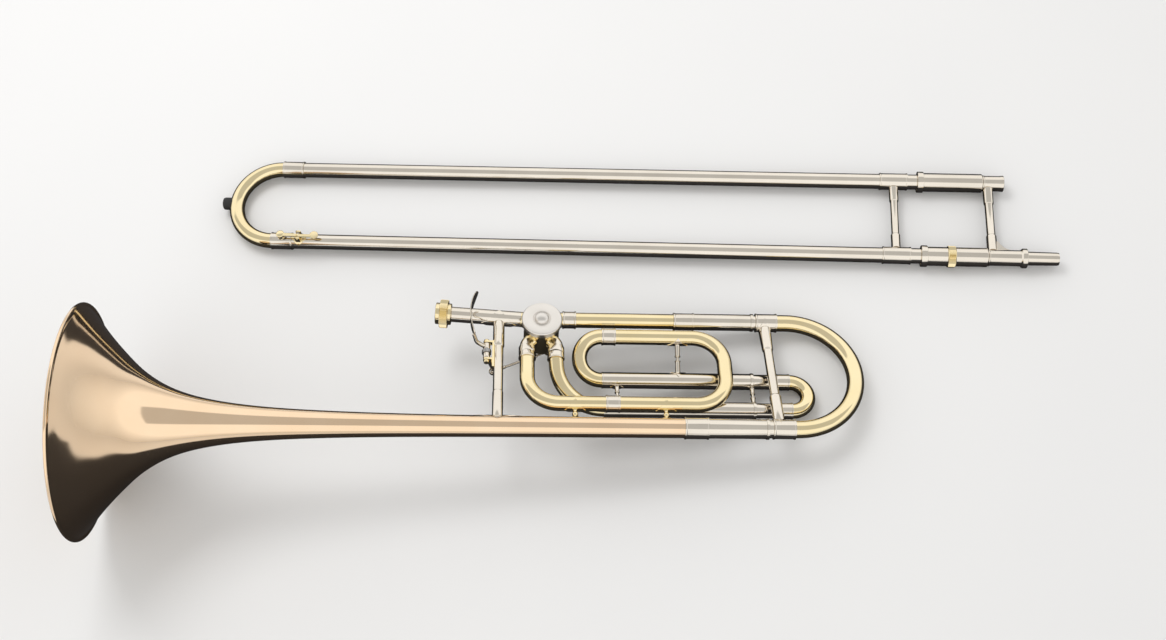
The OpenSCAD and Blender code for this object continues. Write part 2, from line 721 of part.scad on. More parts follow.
// A post between the two legs, which have this radius where it stands.
module leg_post(x, leg_r) {
    difference() {
        post([x, f_leg_low_y, -f_drop], [x, f_leg_high_y, -f_drop], post_r);
        for (y = [f_leg_low_y, f_leg_high_y])
            along_x(x - over - post_r, y, -f_drop) cylinder(h = 2 * (over + post_r), r = leg_r);
    }
}
module f_braces() {
    high = [f_brace_x, f_high_y, 0];
    low = [f_brace_x, f_leg_high_y, -f_drop];
    color(nickel) bell_section() {
        difference() {
            post(high, low, post_r);
            along_x(f_brace_x - deep / 2, f_high_y) cylinder(h = deep, r = f_r);
            along_x(f_brace_x - deep / 2, f_leg_high_y, -f_drop) cylinder(h = deep, r = f_leg_r);
        }
        translate(high) rotate([90 + left_crook_lean, 0, 0]) saddle(f_r, 18, 12);
        translate(low) rotate([left_crook_lean - 90, 0, 0]) saddle(f_leg_r, 14, 10);
        leg_post(leg_brace_x, f_leg_r);
        for (s = [-1, 1]) translate([leg_brace_x, s < 0 ? f_leg_low_y : f_leg_high_y, -f_drop])
            rotate([s * 90, 0, 0]) saddle(f_leg_r, 12, 9);
        leg_post(f_outer_end_x - ring_len / 2, f_leg_r + ring_t);
    }
}
bell_post_xs = [448, 533];
module bell_posts() {
    color(lacquer) bell_section() for (x = bell_post_xs) difference() {
        union() {
            along_y(x, 5) cylinder(h = f_low_y - 8, r = 1.7);
            translate([x, 14, 0]) sphere(r = 3);
            translate([x, f_low_y, 0]) rotate([90, 0, 0]) saddle(f_r, 20, 12);
            stem_saddle(x, 16, 9);
        }
        along_x(x - deep / 2, f_low_y) cylinder(h = deep, r = f_r);
        along_x(x - deep / 2) cylinder(h = deep,
            r1 = bell_at(x - deep / 2) + leaf_gap, r2 = bell_at(x + deep / 2) + leaf_gap);
    }
}

// ---------------------------------------------------------------- main tuning slide
module tuning_crook() {
    color(lacquer) bell_section() {
        for (y = [0, leg_gap]) along_x(crook_start_x, y)
            tube(crook_x - crook_start_x, crook_r, crook_r - wall);
        along_x(crook_x) rotate([0, 0, 90]) bend(leg_gap / 2, 180, crook_r, crook_r - wall);
    }
}
module tuning_ferrule(x, end_x, y, outer, leg_r) {
    difference() {
        along_x(x, y) cylinder(h = end_x - x, r = outer);
        along_x(x - over, y) cylinder(h = crook_start_x - x + over, r = leg_r);
        along_x(crook_start_x, y) cylinder(h = deep, r = crook_r);
    }
}
module tuning_ferrules() {
    color(nickel) bell_section() {
        tuning_ferrule(tuning_neck_x, crook_ferrule_end_x, leg_gap, tuning_neck_r, neck_bore_r - slip);
        tuning_ferrule(tuning_bell_x, tuning_bell_end_x, 0, tuning_bell_r, bell_bore_r - slip);
    }
}
module tuning_neck_leg() {
    r = neck_bore_r - slip;
    color(nickel) bell_section() along_x(tuning_leg_start_x, leg_gap)
        tube(crook_start_x - tuning_leg_start_x, r, r - wall);
}
module tuning_bell_leg() {
    r = bell_bore_r - slip;
    color(nickel) bell_section() along_x(tuning_bell_leg_x)
        tube(crook_start_x - tuning_bell_leg_x, r, r - wall);
}
module tuning_brace() {
    lean = atan2(tuning_brace_x - tuning_brace_top_x, leg_gap);
    color(nickel) bell_section() {
        difference() {
            translate([tuning_brace_x, 0, 0]) rotate([0, 0, lean]) {
                along_y(0, 5) cylinder(h = tuning_waist_y - 5, r = 5.6);
                along_y(0, tuning_waist_y) cylinder(h = brace_neck_y - tuning_waist_y, r = 4.6);
                along_y(0, brace_neck_y) cylinder(h = leg_gap - brace_neck_y, r1 = 5.2, r2 = 6.3);
            }
            along_x(tuning_brace_x - deep / 2) cylinder(h = deep, r = tuning_bell_r);
            along_x(tuning_brace_x - deep / 2, leg_gap) cylinder(h = deep, r = tuning_neck_r);
        }
        translate([tuning_brace_x, 0, 0]) rotate([-90, 0, 0]) saddle(tuning_bell_r, 13, 14);
        translate([tuning_brace_top_x, leg_gap, 0]) rotate([90, 0, 0]) saddle(tuning_neck_r, 13, 15);
    }
}

// ---------------------------------------------------------------- F slide
module f_slide_crook() {
    color(lacquer) bell_section() along_x(f_slide_crook_x, f_leg_low_y, -f_drop)
        rotate([0, 0, 90]) bend((f_leg_high_y - f_leg_low_y) / 2, 180, f_r, f_r - wall);
}
module f_slide_ferrules() {
    color(nickel) bell_section() for (y = [f_leg_low_y, f_leg_high_y])
        along_x(f_slide_ferrule_x, y, -f_drop)
            tube(f_slide_crook_x - f_slide_ferrule_x, f_r + 0.6, f_r - slip);
}
module f_slide_legs() {
    r = f_r - slip;
    color(nickel) bell_section() for (y = [f_leg_low_y, f_leg_high_y])
        along_x(f_slide_leg_start_x, y, -f_drop)
            tube(f_slide_crook_x - f_slide_leg_start_x, r, r - wall);
}

// ---------------------------------------------------------------- hand slide, inner
module both_tubes() { for (s = [-1, 1]) translate([0, s * slide_gap / 2, 0]) children(); }
module inner_tubes() {
    color(nickel) hand_slide() both_tubes() difference() {
        union() {
            along_x(inner_end_x) cylinder(h = stocking_len, r = stocking_r);
            along_x(inner_end_x) cylinder(h = barrel_end_x - inner_end_x, r = inner_r);
        }
        along_x(inner_end_x - over)
            cylinder(h = barrel_end_x - inner_end_x + 2 * over, r = slide_bore_r);
    }
}
module cork_barrels() {
    color(nickel) hand_slide() both_tubes() difference() {
        union() {
            along_x(barrel_x) cylinder(h = barrel_end_x - barrel_x, r = barrel_r);
            along_x(barrel_x) cylinder(h = collar_len, r = collar_r);
        }
        along_x(barrel_x - over) cylinder(h = barrel_bore_len, r = outer_r + air);
        along_x(barrel_x - over) cylinder(h = 3 * deep, r = inner_r);
    }
}
// The grip brace stands on the fittings just beyond the barrels.
grip_sleeve_len = 25;
upper_fitting_r = 7.8;
upper_fitting_end_x = 16;
mouthpiece_bore_r = 6.35;
lower_fitting_r = 8;
lower_fitting_end_x = 27;
tenon_ring_end_x = 33;
tenon_ring_r = 9.8;
tenon_r = 6.75;
tenon_len = 29;
tenon_tip_r = 6.2;
tenon_bore_r = 5.8;
module grip_brace() {
    y = slide_gap / 2;
    foot = -y + lower_fitting_r;
    color(nickel) hand_slide() difference() {
        union() {
            along_y(0, -y) cylinder(h = 2 * y, r = 4.2);
            along_y(0, -y) cylinder(h = grip_sleeve_len, r = 5);
            along_y(0, y - grip_sleeve_len) cylinder(h = grip_sleeve_len, r = 5);
            // gusset between the brace and the tenon's fitting, hollowed along its free edge
            translate([0, 0, -0.8]) linear_extrude(1.6) difference() {
                polygon([[0, -y], [21, -y], [21, foot], [5.2, foot + 11], [0, foot + 11]]);
                translate([22, foot + 17.6]) circle(r = 17.2, $fn = 90);
            }
        }
        both_tubes() along_x(barrel_end_x - deep) cylinder(h = deep, r = barrel_r);
        along_x(barrel_end_x - over, y) cylinder(h = deep, r = upper_fitting_r);
        along_x(barrel_end_x - over, -y) cylinder(h = deep, r = lower_fitting_r);
    }
}
module mouthpiece_receiver() {
    len = upper_fitting_end_x - barrel_end_x;
    flare_len = 4;
    color(nickel) hand_slide() along_x(barrel_end_x, slide_gap / 2) difference() {
        union() {
            cylinder(h = len, r = upper_fitting_r);
            translate([0, 0, len - flare_len])
                cylinder(h = flare_len, r1 = upper_fitting_r, r2 = upper_fitting_r + 0.5);
        }
        translate([0, 0, -over]) cylinder(h = len + 2 * over, r = mouthpiece_bore_r);
    }
}
module slide_tenon() {
    color(nickel) hand_slide() translate([0, -slide_gap / 2, 0]) difference() {
        union() {
            along_x(barrel_end_x) cylinder(h = lower_fitting_end_x - barrel_end_x, r = lower_fitting_r);
            along_x(lower_fitting_end_x) cylinder(h = 2, r1 = lower_fitting_r, r2 = tenon_ring_r);
            along_x(lower_fitting_end_x + 2)
                cylinder(h = tenon_ring_end_x - lower_fitting_end_x - 2, r = tenon_ring_r);
            along_x(tenon_ring_end_x) cylinder(h = tenon_len, r = tenon_r);
            along_x(tenon_ring_end_x + tenon_len) cylinder(h = 2, r1 = tenon_r, r2 = tenon_tip_r);
        }
        along_x(barrel_end_x - over) cylinder(h = 2 * deep, r = tenon_bore_r);
    }
}
lock_ring_x = -45;
lock_ring_len = 8;
lock_ring_knurls = 24;
module lock_ring() {
    color(lacquer) hand_slide() translate([lock_ring_x, -slide_gap / 2, 0]) difference() {
        along_x(0) cylinder(h = lock_ring_len, r = collar_r);
        along_x(-over) cylinder(h = deep, r = barrel_r + slip);
        for (i = [1:lock_ring_knurls]) rotate([360 * i / lock_ring_knurls, 0, 0])
            along_x(-over, 0, collar_r + 0.4) cylinder(h = deep, r = 0.8);
    }
}

// ---------------------------------------------------------------- hand slide, outer
module outer_tubes() {
    color(nickel) hand_slide() both_tubes() along_x(outer_end_x) tube(outer_len, outer_r, outer_bore_r);
}
outer_sleeve_len = 28;
outer_brace_end = 24;
module outer_sleeves() {
    color(nickel) hand_slide() both_tubes() along_x(outer_brace_x - outer_sleeve_len / 2)
        tube(outer_sleeve_len, outer_r + ferrule_t, outer_r);
}
module outer_brace() {
    y = slide_gap / 2;
    color(nickel) hand_slide() difference() {
        union() {
            along_y(outer_brace_x, -y) cylinder(h = 2 * y, r = 3.8);
            for (start = [-y, y - outer_brace_end])
                along_y(outer_brace_x, start) cylinder(h = outer_brace_end, r = 4.6);
        }
        both_tubes() along_x(outer_brace_x - deep / 2) cylinder(h = deep, r = outer_r + ferrule_t);
    }
}
module slide_bow() {
    color(lacquer) hand_slide() translate([outer_end_x, slide_gap / 2, 0])
        rotate([0, -90, 0]) rotate([0, 0, -90]) bend(slide_gap / 2, 180, outer_r, outer_bore_r);
}
module bow_ferrules() {
    color(nickel) hand_slide() both_tubes() along_x(outer_end_x)
        tube(bow_sleeve_len, outer_r + ferrule_t, outer_r);
}
bumper_t = 7;
module bow_bumper() {
    tip = outer_end_x - slide_gap / 2 - outer_r;
    color(dark) hand_slide() difference() {
        along_x(tip - bumper_t) cylinder(h = 2 * bumper_t, r = 6.5);
        translate([outer_end_x, 0, 0]) rotate_extrude() translate([slide_gap / 2, 0]) circle(r = outer_r);
        translate([outer_end_x, 0, -10]) cylinder(h = 20, r = slide_gap / 2);
    }
}

// ---------------------------------------------------------------- water key
nipple_x = outer_end_x + 12;
nipple_top_z = 11.6;
key_z = 12.5;
key_pivot_x = outer_end_x + 30;
key_pin_r = 1;
key_t = 1.6;
// Puts the origin on the axis of the slide tube that carries the water key.
module key_frame() { hand_slide() translate([0, -slide_gap / 2, 0]) children(); }
module water_key_saddle() {
    color(lacquer) key_frame() difference() {
        union() {
            translate([nipple_x, 0, 4]) cylinder(h = nipple_top_z - 4, r = 3);
            // two ears and the pin between them
            for (s = [-1, 1]) translate([key_pivot_x - 2.5, s * 4 - 0.8, 4])
                cube([5, 1.6, key_z - 2]);
            along_y(key_pivot_x, -5.6, key_z) cylinder(h = 11.2, r = key_pin_r);
        }
        along_x(nipple_x - 10) cylinder(h = outer_end_x + bow_sleeve_len - nipple_x + 10,
            r = outer_r + ferrule_t);
        along_x(nipple_x) cylinder(h = 60, r = outer_r);
    }
}
module water_key() {
    color(lacquer) key_frame() difference() {
        union() {
            along_y(key_pivot_x, -2.8, key_z) cylinder(h = 3.2, r = 2.4);
            translate([nipple_x, -2.6, key_z + 1.4]) cube([key_pivot_x - nipple_x, 3, key_t]);
            translate([nipple_x, 0, key_z + 1.4]) cylinder(h = key_t, r = 4.2);
            translate([key_pivot_x, -2.6, key_z + 0.6]) cube([16, 3, key_t]);
            translate([key_pivot_x + 17, 0, key_z + 0.6]) cylinder(h = key_t, r = 4.5);
        }
        along_y(key_pivot_x, -10, key_z) cylinder(h = 20, r = key_pin_r + slip);
    }
}
module water_key_cork() {
    color(dark) key_frame() translate([nipple_x, 0, nipple_top_z + 0.3])
        cylinder(h = key_z + 1.1 - nipple_top_z, r = 3.4);
}
module water_key_spring() {
    color(satin) key_frame() along_y(key_pivot_x, 0.8, key_z) coil(key_pin_r + 0.5, 0.25, 0.7, 3);
}

bell_flare();
bell_rim_wire();
bell_ferrule();
bell_outer_tube();
neck_outer_tube();
neck_ferrule();
output_tube();
output_ferrule();
receiver_tube();
lock_nut();
hand_brace();
hand_brace_flanges();
valve_casing();
bearing_plate();
valve_cap();
valve_rotor();
stop_arm();
stop_arm_screw();
stop_plate();
stop_bumpers();
link_rod();
thumb_lever();
lever_pivot();
lever_bracket();
lever_spring();
port_ferrules();
f_first_tube();
f_second_tube();
f_loop_ferrules();
f_right_crook();
f_left_crook();
f_upper_leg();
f_lower_leg();
f_braces();
bell_posts();
tuning_crook();
tuning_ferrules();
tuning_neck_leg();
tuning_bell_leg();
tuning_brace();
f_slide_crook();
f_slide_ferrules();
f_slide_legs();
inner_tubes();
cork_barrels();
grip_brace();
mouthpiece_receiver();
slide_tenon();
lock_ring();
outer_tubes();
outer_sleeves();
outer_brace();
slide_bow();
bow_ferrules();
bow_bumper();
water_key_saddle();
water_key();
water_key_cork();
water_key_spring();
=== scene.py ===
import json
import math

import bmesh
import bpy
from mathutils import Matrix, Vector


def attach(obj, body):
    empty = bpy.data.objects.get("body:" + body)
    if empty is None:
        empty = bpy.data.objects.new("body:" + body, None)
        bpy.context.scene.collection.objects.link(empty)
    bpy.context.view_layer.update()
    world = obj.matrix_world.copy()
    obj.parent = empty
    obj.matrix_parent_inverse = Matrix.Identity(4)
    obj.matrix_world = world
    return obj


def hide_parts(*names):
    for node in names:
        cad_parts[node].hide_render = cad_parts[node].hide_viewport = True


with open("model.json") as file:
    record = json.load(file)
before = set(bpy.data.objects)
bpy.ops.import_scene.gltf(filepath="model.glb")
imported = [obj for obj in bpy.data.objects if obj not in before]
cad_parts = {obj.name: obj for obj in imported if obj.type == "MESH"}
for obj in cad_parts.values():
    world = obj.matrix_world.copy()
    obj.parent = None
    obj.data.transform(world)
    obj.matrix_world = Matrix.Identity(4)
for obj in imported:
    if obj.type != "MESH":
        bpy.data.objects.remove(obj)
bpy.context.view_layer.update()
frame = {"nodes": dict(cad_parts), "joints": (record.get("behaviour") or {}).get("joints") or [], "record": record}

# ------------------------------------------------------------------ the two sections' own frames
# Everything below is in millimetres in one of two frames, as a brass maker would draw it.
# Bell section: +X from the rim to the main crook, bell axis at y = 0, neck line at y = LEG_GAP.
# Hand slide: +X from the bow to the tenon, grip brace at x = 0, tubes at y = +-SLIDE_HALF.
joints = {j["name"]: j for j in frame["joints"]}
X, Y, Z = Vector((1, 0, 0)), Vector((0, 1, 0)), Vector((0, 0, 1))
MM = Matrix.Scale(0.001, 4)


def placed(x_axis, y_axis, z_axis, known, local):
    """The frame with these axes, where a point known in metres has these local millimetres."""
    turn = Matrix((x_axis, y_axis, z_axis)).transposed().to_4x4()
    origin = Vector(known) - turn @ (Vector(local) / 1000)
    return Matrix.Translation(origin) @ turn @ MM


def axis(joint):
    return Vector(joints[joint]["axis"]).normalized()


VALVE = Vector((417, 109.4, 0))
BELL = placed(axis("tuning_slide_pull"), axis("thumb_lever_press"), -axis("rotor_turn"),
              joints["rotor_turn"]["pos_m"], VALVE)
SLIDE_HALF = 43.5
slide_x = -axis("hand_slide_extend")
LOCK_RING_X = -41
SLIDE = placed(slide_x, Z.cross(slide_x), Z, joints["lock_ring_turn"]["pos_m"],
               (LOCK_RING_X, -SLIDE_HALF, 0))

bodies = frame["record"]["behaviour"]["bodies"]
body_of = {node: body for body, members in bodies.items() for node in members}
slot_of = {s["node"]: s["material_slot"] for s in frame["record"]["subparts"]}


# ------------------------------------------------------------------ shapes
def softened(outline, soften, closed):
    """The outline with each of its corners cut back by a short curve."""
    points = [Vector(p[:2]) for p in outline]
    extra = [p[2] if len(p) > 2 else 0 for p in outline]
    count, made = len(points), []
    for i, p in enumerate(points):
        if not closed and i in (0, count - 1):
            made.append((p.x, p.y, extra[i]))
            continue
        a, b = points[i - 1] - p, points[(i + 1) % count] - p
        if a.length < 1e-6 or b.length < 1e-6 or a.angle(b) > math.radians(160):
            made.append((p.x, p.y, extra[i]))
            continue
        start = p + a.normalized() * min(soften, 0.4 * a.length)
        end = p + b.normalized() * min(soften, 0.4 * b.length)
        middle = 0.25 * start + 0.5 * p + 0.25 * end
        made += [(q.x, q.y, extra[i]) for q in (start, middle, end)]
    return made


def line(start, end, count=2):
    """A straight route: its centres and directions."""
    start, end = Vector(start), Vector(end)
    way = (end - start).normalized()
    return [(start.lerp(end, k / (count - 1)), way) for k in range(count)]


def go(route, length):
    """The route, carried straight on."""
    centre, way = route[-1]
    return route + [(centre + way * length, way)]


def turn(route, radius, degrees, towards, step=3):
    """The route, carried on round an arc that bends towards that direction."""
    centre, way = route[-1]
    side = (Vector(towards) - Vector(towards).project(way)).normalized()
    hub, made, count = centre + side * radius, [], max(2, round(degrees / step))
    for k in range(1, count + 1):
        a = math.radians(degrees) * k / count
        made.append((hub - side * radius * math.cos(a) + way * radius * math.sin(a),
                     (way * math.cos(a) + side * math.sin(a)).normalized()))
    return route + made


def circle(centre, e1, e2, radius, steps, knurl=0):
    angles = [2 * math.pi * k / steps for k in range(steps)]
    return [centre + (radius - knurl * (k % 2)) * (e1 * math.cos(a) + e2 * math.sin(a))
            for k, a in enumerate(angles)]


class Shape:
    """One visible piece, built up in millimetres in a section's frame out of closed solids."""

    def __init__(self, place):
        self.place = place
        self.mesh = bmesh.new()

    def skin(self, rings, loop):
        """Joins rings of points, one after another; a ring of one point closes to a tip."""
        made = [[self.mesh.verts.new(self.place @ p) for p in ring] for ring in rings]
        for a, b in zip(made, made[1:] + (made[:1] if loop else [])):
            count = max(len(a), len(b))
            for i in range(count):
                j = (i + 1) % count
                corners = dict.fromkeys((a[i % len(a)], a[j % len(a)], b[j % len(b)],
                                         b[i % len(b)]))
                if len(corners) > 2:
                    self.mesh.faces.new(list(corners))
        return self

    def lathe(self, outline, start=(0, 0, 0), way=X, soften=0.2, steps=72):
        """Turns (distance, radius) points round a line; a third number is the depth of a knurl."""
        start, way = Vector(start), Vector(way).normalized()
        e1 = way.orthogonal().normalized()
        e2 = way.cross(e1)
        solid = outline[0][1] == 0
        rings = []
        for x, r, knurl in softened(outline, soften, not solid):
            centre = start + way * x
            rings.append([centre] if r == 0 else circle(centre, e1, e2, r, steps, knurl))
        return self.skin(rings, not solid)

    def tube(self, start, way, length, outer, inner, lip=0, lip_len=1.2, lips="both", soften=0.2):
        """A hollow cylinder, with a raised lip at one end, both or neither."""
        outline = [(0, inner), (0, outer + lip if lips in ("both", "start") and lip else outer)]
        if lip and lips in ("both", "start"):
            outline += [(lip_len, outer + lip), (lip_len + lip, outer)]
        if lip and lips in ("both", "end"):
            outline += [(length - lip_len - lip, outer), (length - lip_len, outer + lip),
                        (length, outer + lip)]
        else:
            outline += [(length, outer)]
        return self.lathe(outline + [(length, inner)], start, way, soften)

    def pipe(self, route, outer, inner=0, steps=56):
        """Sweeps a round tube or rod along a route; outer may be a function of the way along it."""
        size = outer if callable(outer) else lambda t: outer
        normal = route[0][1].orthogonal().normalized()
        outside, inside = [], []
        for k, (centre, way) in enumerate(route):
            normal = (normal - normal.project(way)).normalized()
            side = way.cross(normal)
            outside.append(circle(centre, normal, side, size(k / (len(route) - 1)), steps))
            if inner:
                inside.append(circle(centre, normal, side, inner, steps))
        if inner:
            return self.skin(outside + inside[::-1], True)
        return self.skin([[route[0][0]]] + outside + [[route[-1][0]]], False)

    def leaf(self, route, radius, face, half_angle, thick=0.7, sharp=1.25, tips="both"):
        """A thin leaf wrapped on a tube: widest in the middle, or at its start, and pointed."""
        rings, count = [], len(route) - 1
        for k, (centre, way) in enumerate(route):
            t = k / count
            share = 1 - abs(2 * t - 1) if tips == "both" else 1 - t
            e1 = (Vector(face) - Vector(face).project(way)).normalized()
            e2 = way.cross(e1)
            if share < 1e-6:
                rings.append([centre + e1 * (radius + 0.3 * thick)])
                continue
            wide = math.radians(half_angle) * share ** sharp
            angles = [wide * (i / 6 - 1) for i in range(13)]
            ways = [e1 * math.cos(a) + e2 * math.sin(a) for a in angles]
            rings.append([centre + w * (radius + thick) for w in ways]
                         + [centre + w * (radius - 0.2) for w in ways[::-1]])
        if tips != "both":
            rings.insert(0, [route[0][0] + (rings[0][6] - route[0][0]) * 0.99])
        return self.skin(rings, False)

    def plate(self, outline, base, along, across, up, thick, soften=0.25):
        """A flat plate: its outline in two directions, and its thickness in the third."""
        along, across, up = (Vector(v).normalized() for v in (along, across, up))
        points = [Vector(base) + along * p[0] + across * p[1] for p in outline]
        low = [self.mesh.verts.new(self.place @ p) for p in points]
        high = [self.mesh.verts.new(self.place @ (p + up * thick)) for p in points]
        faces = [self.mesh.faces.new(low[::-1]), self.mesh.faces.new(high)]
        for i in range(len(low)):
            j = (i + 1) % len(low)
            faces.append(self.mesh.faces.new((low[i], low[j], high[j], high[i])))
        edges = {e for f in faces for e in f.edges if e.calc_face_angle(0) > math.radians(30)}
        bmesh.ops.bevel(self.mesh, geom=list(edges), offset=soften / 1000, segments=2, profile=0.6,
                        affect="EDGES", clamp_overlap=True)
        return self

    def ball(self, centre, radius):
        angles = [math.pi * k / 12 for k in range(13)]
        outline = [(-radius * math.cos(a), radius * math.sin(a) if 0 < k < 12 else 0)
                   for k, a in enumerate(angles)]
        return self.lathe(outline, centre, Z, soften=0, steps=36)

    def show(self, node, *more, name=None, finish=None):
        """Makes the piece, which stands for these CAD nodes and takes the first one's finish."""
        bmesh.ops.recalc_face_normals(self.mesh, faces=self.mesh.faces)
        data = bpy.data.meshes.new("fine_" + (name or node))
        self.mesh.to_mesh(data)
        self.mesh.free()
        data.shade_smooth()
        data.set_sharp_from_angle(angle=math.radians(38))
        data.materials.append(materials[finish or slot_of[node]])
        piece = bpy.data.objects.new(data.name, data)
        bpy.context.scene.collection.objects.link(piece)
        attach(piece, body_of[node])
        if name is None:
            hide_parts(node, *more)
        return piece


# ------------------------------------------------------------------ materials
def node_maker(tree):
    def make(kind, inputs=(), **settings):
        made = tree.nodes.new(kind)
        for key, value in settings.items():
            setattr(made, key, value)
        for key, value in dict(inputs).items():
            if hasattr(value, "is_linked"):
                tree.links.new(value, made.inputs[key])
            else:
                made.inputs[key].default_value = value
        return made
    return make


def between(make, value, low, high):
    """The value, from 0 to 1, stretched from low to high."""
    return make("ShaderNodeMapRange", {"Value": value, "To Min": low,
                                       "To Max": high}).outputs["Result"]


def start_material(name):
    made = bpy.data.materials.new(name)
    made.use_nodes = True
    tree = made.node_tree
    shader = tree.nodes["Principled BSDF"]
    return made, tree, shader, node_maker(tree)


def polished(name, colour, deep, rough=(0.05, 0.11), coat=0.0, ripple=0.05):
    """Buffed sheet or tube: slight draw marks, fine buffing lines and a faint change of tone."""
    made, tree, shader, make = start_material(name)
    place = make("ShaderNodeTexCoord").outputs["Object"]
    tone = make("ShaderNodeTexNoise", {"Vector": place, "Scale": 22.0, "Detail": 3.0})
    mixed = make("ShaderNodeMix", {"Factor": between(make, tone.outputs["Fac"], -0.4, 1.0)},
                 data_type="RGBA")
    mixed.inputs["A"].default_value = (*colour, 1)
    mixed.inputs["B"].default_value = (*deep, 1)
    tree.links.new(mixed.outputs["Result"], shader.inputs["Base Color"])
    haze = make("ShaderNodeTexNoise", {"Vector": place, "Scale": 75.0, "Detail": 4.0})
    tree.links.new(between(make, haze.outputs["Fac"], *rough), shader.inputs["Roughness"])
    wave = make("ShaderNodeTexNoise", {"Vector": place, "Scale": 60.0, "Detail": 1.0})
    lines = make("ShaderNodeTexNoise", {"Vector": place, "Scale": 2600.0, "Detail": 2.0})
    soft = make("ShaderNodeBump", {"Height": wave.outputs["Fac"], "Strength": ripple,
                                   "Distance": 0.0006})
    fine = make("ShaderNodeBump", {"Height": lines.outputs["Fac"], "Strength": 0.04,
                                   "Distance": 0.00005,
                                   "Normal": soft.outputs["Normal"]})
    tree.links.new(fine.outputs["Normal"], shader.inputs["Normal"])
    shader.inputs["Metallic"].default_value = 1.0
    shader.inputs["Coat Weight"].default_value = coat
    shader.inputs["Coat Roughness"].default_value = 0.03
    return made


def satin(name, colour, deep):
    """Plate brushed to a soft sheen."""
    made, tree, shader, make = start_material(name)
    place = make("ShaderNodeTexCoord").outputs["Object"]
    grain = make("ShaderNodeTexNoise", {"Vector": place, "Scale": 1800.0, "Detail": 3.0})
    cloud = make("ShaderNodeTexNoise", {"Vector": place, "Scale": 60.0, "Detail": 2.0})
    mixed = make("ShaderNodeMix", {"Factor": cloud.outputs["Fac"]}, data_type="RGBA")
    mixed.inputs["A"].default_value = (*colour, 1)
    mixed.inputs["B"].default_value = (*deep, 1)
    tree.links.new(mixed.outputs["Result"], shader.inputs["Base Color"])
    tree.links.new(between(make, grain.outputs["Fac"], 0.26, 0.42), shader.inputs["Roughness"])
    bump = make("ShaderNodeBump", {"Height": grain.outputs["Fac"], "Strength": 0.12,
                                   "Distance": 0.00005})
    tree.links.new(bump.outputs["Normal"], shader.inputs["Normal"])
    shader.inputs["Metallic"].default_value = 1.0
    return made


def dull(name, colour, light, scale, strength):
    """Rubber or cork: matt, grained and a little uneven in tone."""
    made, tree, shader, make = start_material(name)
    place = make("ShaderNodeTexCoord").outputs["Object"]
    grain = make("ShaderNodeTexNoise", {"Vector": place, "Scale": scale, "Detail": 5.0})
    mixed = make("ShaderNodeMix", {"Factor": grain.outputs["Fac"]}, data_type="RGBA")
    mixed.inputs["A"].default_value = (*colour, 1)
    mixed.inputs["B"].default_value = (*light, 1)
    tree.links.new(mixed.outputs["Result"], shader.inputs["Base Color"])
    tree.links.new(between(make, grain.outputs["Fac"], 0.55, 0.8), shader.inputs["Roughness"])
    bump = make("ShaderNodeBump", {"Height": grain.outputs["Fac"], "Strength": strength,
                                   "Distance": 0.0002})
    tree.links.new(bump.outputs["Normal"], shader.inputs["Normal"])
    return made


materials = {
    "nickel_silver": polished("nickel_silver", (0.80, 0.745, 0.66), (0.70, 0.645, 0.56)),
    "lacquered_brass": polished("lacquered_brass", (0.90, 0.77, 0.49), (0.83, 0.69, 0.39),
                                coat=0.25),
    "rose_brass": polished("rose_brass", (0.90, 0.69, 0.48), (0.84, 0.61, 0.40), coat=0.25,
                           ripple=0.03),
    "satin_nickel": satin("satin_nickel", (0.80, 0.77, 0.73), (0.72, 0.69, 0.65)),
    "spring_steel": polished("spring_steel", (0.56, 0.57, 0.58), (0.46, 0.47, 0.48),
                             rough=(0.18, 0.3)),
    "dark_rubber": dull("dark_rubber", (0.012, 0.012, 0.012), (0.03, 0.03, 0.03), 900.0, 0.3),
    "cork": dull("cork", (0.03, 0.022, 0.016), (0.10, 0.075, 0.05), 700.0, 0.6),
}
for node, carried in frame["nodes"].items():
    carried.data.materials.clear()
    carried.data.materials.append(materials[slot_of[node]])


# ------------------------------------------------------------------ bell section: bell and stem
LEG_GAP = 123
NECK = Vector((0, LEG_GAP, 0))
WALL = 0.6
RIM_R, RIM_WIRE = 108, 1.6
STEM_END = 559
# Distance from the rim and outer radius of the bell's flare.
FLARE = [(-12, 124), (2 * RIM_WIRE, RIM_R - 4), (10, 94.5), (20, 82), (35, 65.5), (55, 46.5),
         (80, 31.7), (110, 22.6), (150, 16.7), (200, 13.3), (280, 10.9), (400, 9.7),
         (STEM_END, 9.1), (709, 8.6)]


def flare_outline(steps=14, passes=24):
    """A cubic through the flare's stations, smoothed so that its curvature changes evenly."""
    def slope(i):
        return (FLARE[i + 1][1] - FLARE[i - 1][1]) / (FLARE[i + 1][0] - FLARE[i - 1][0])
    made = []
    for i in range(1, len(FLARE) - 2):
        (x0, r0), (x1, r1) = FLARE[i:i + 2]
        wide = x1 - x0
        for k in range(steps):
            t = k / steps
            r = ((2 * t ** 3 - 3 * t ** 2 + 1) * r0 + (t ** 3 - 2 * t ** 2 + t) * wide * slope(i)
                 + (3 * t ** 2 - 2 * t ** 3) * r1 + (t ** 3 - t ** 2) * wide * slope(i + 1))
            made.append((x0 + t * wide, r))
    made.append(FLARE[-2])
    for _ in range(passes):
        made = made[:1] + [((a[0] + 2 * b[0] + c[0]) / 4, (a[1] + 2 * b[1] + c[1]) / 4)
                           for a, b, c in zip(made, made[1:], made[2:])] + made[-1:]
    return made


def stem_radius(x):
    outside = flare_outline()
    for (x0, r0), (x1, r1) in zip(outside, outside[1:]):
        if x0 <= x <= x1:
            return r0 + (r1 - r0) * (x - x0) / (x1 - x0)


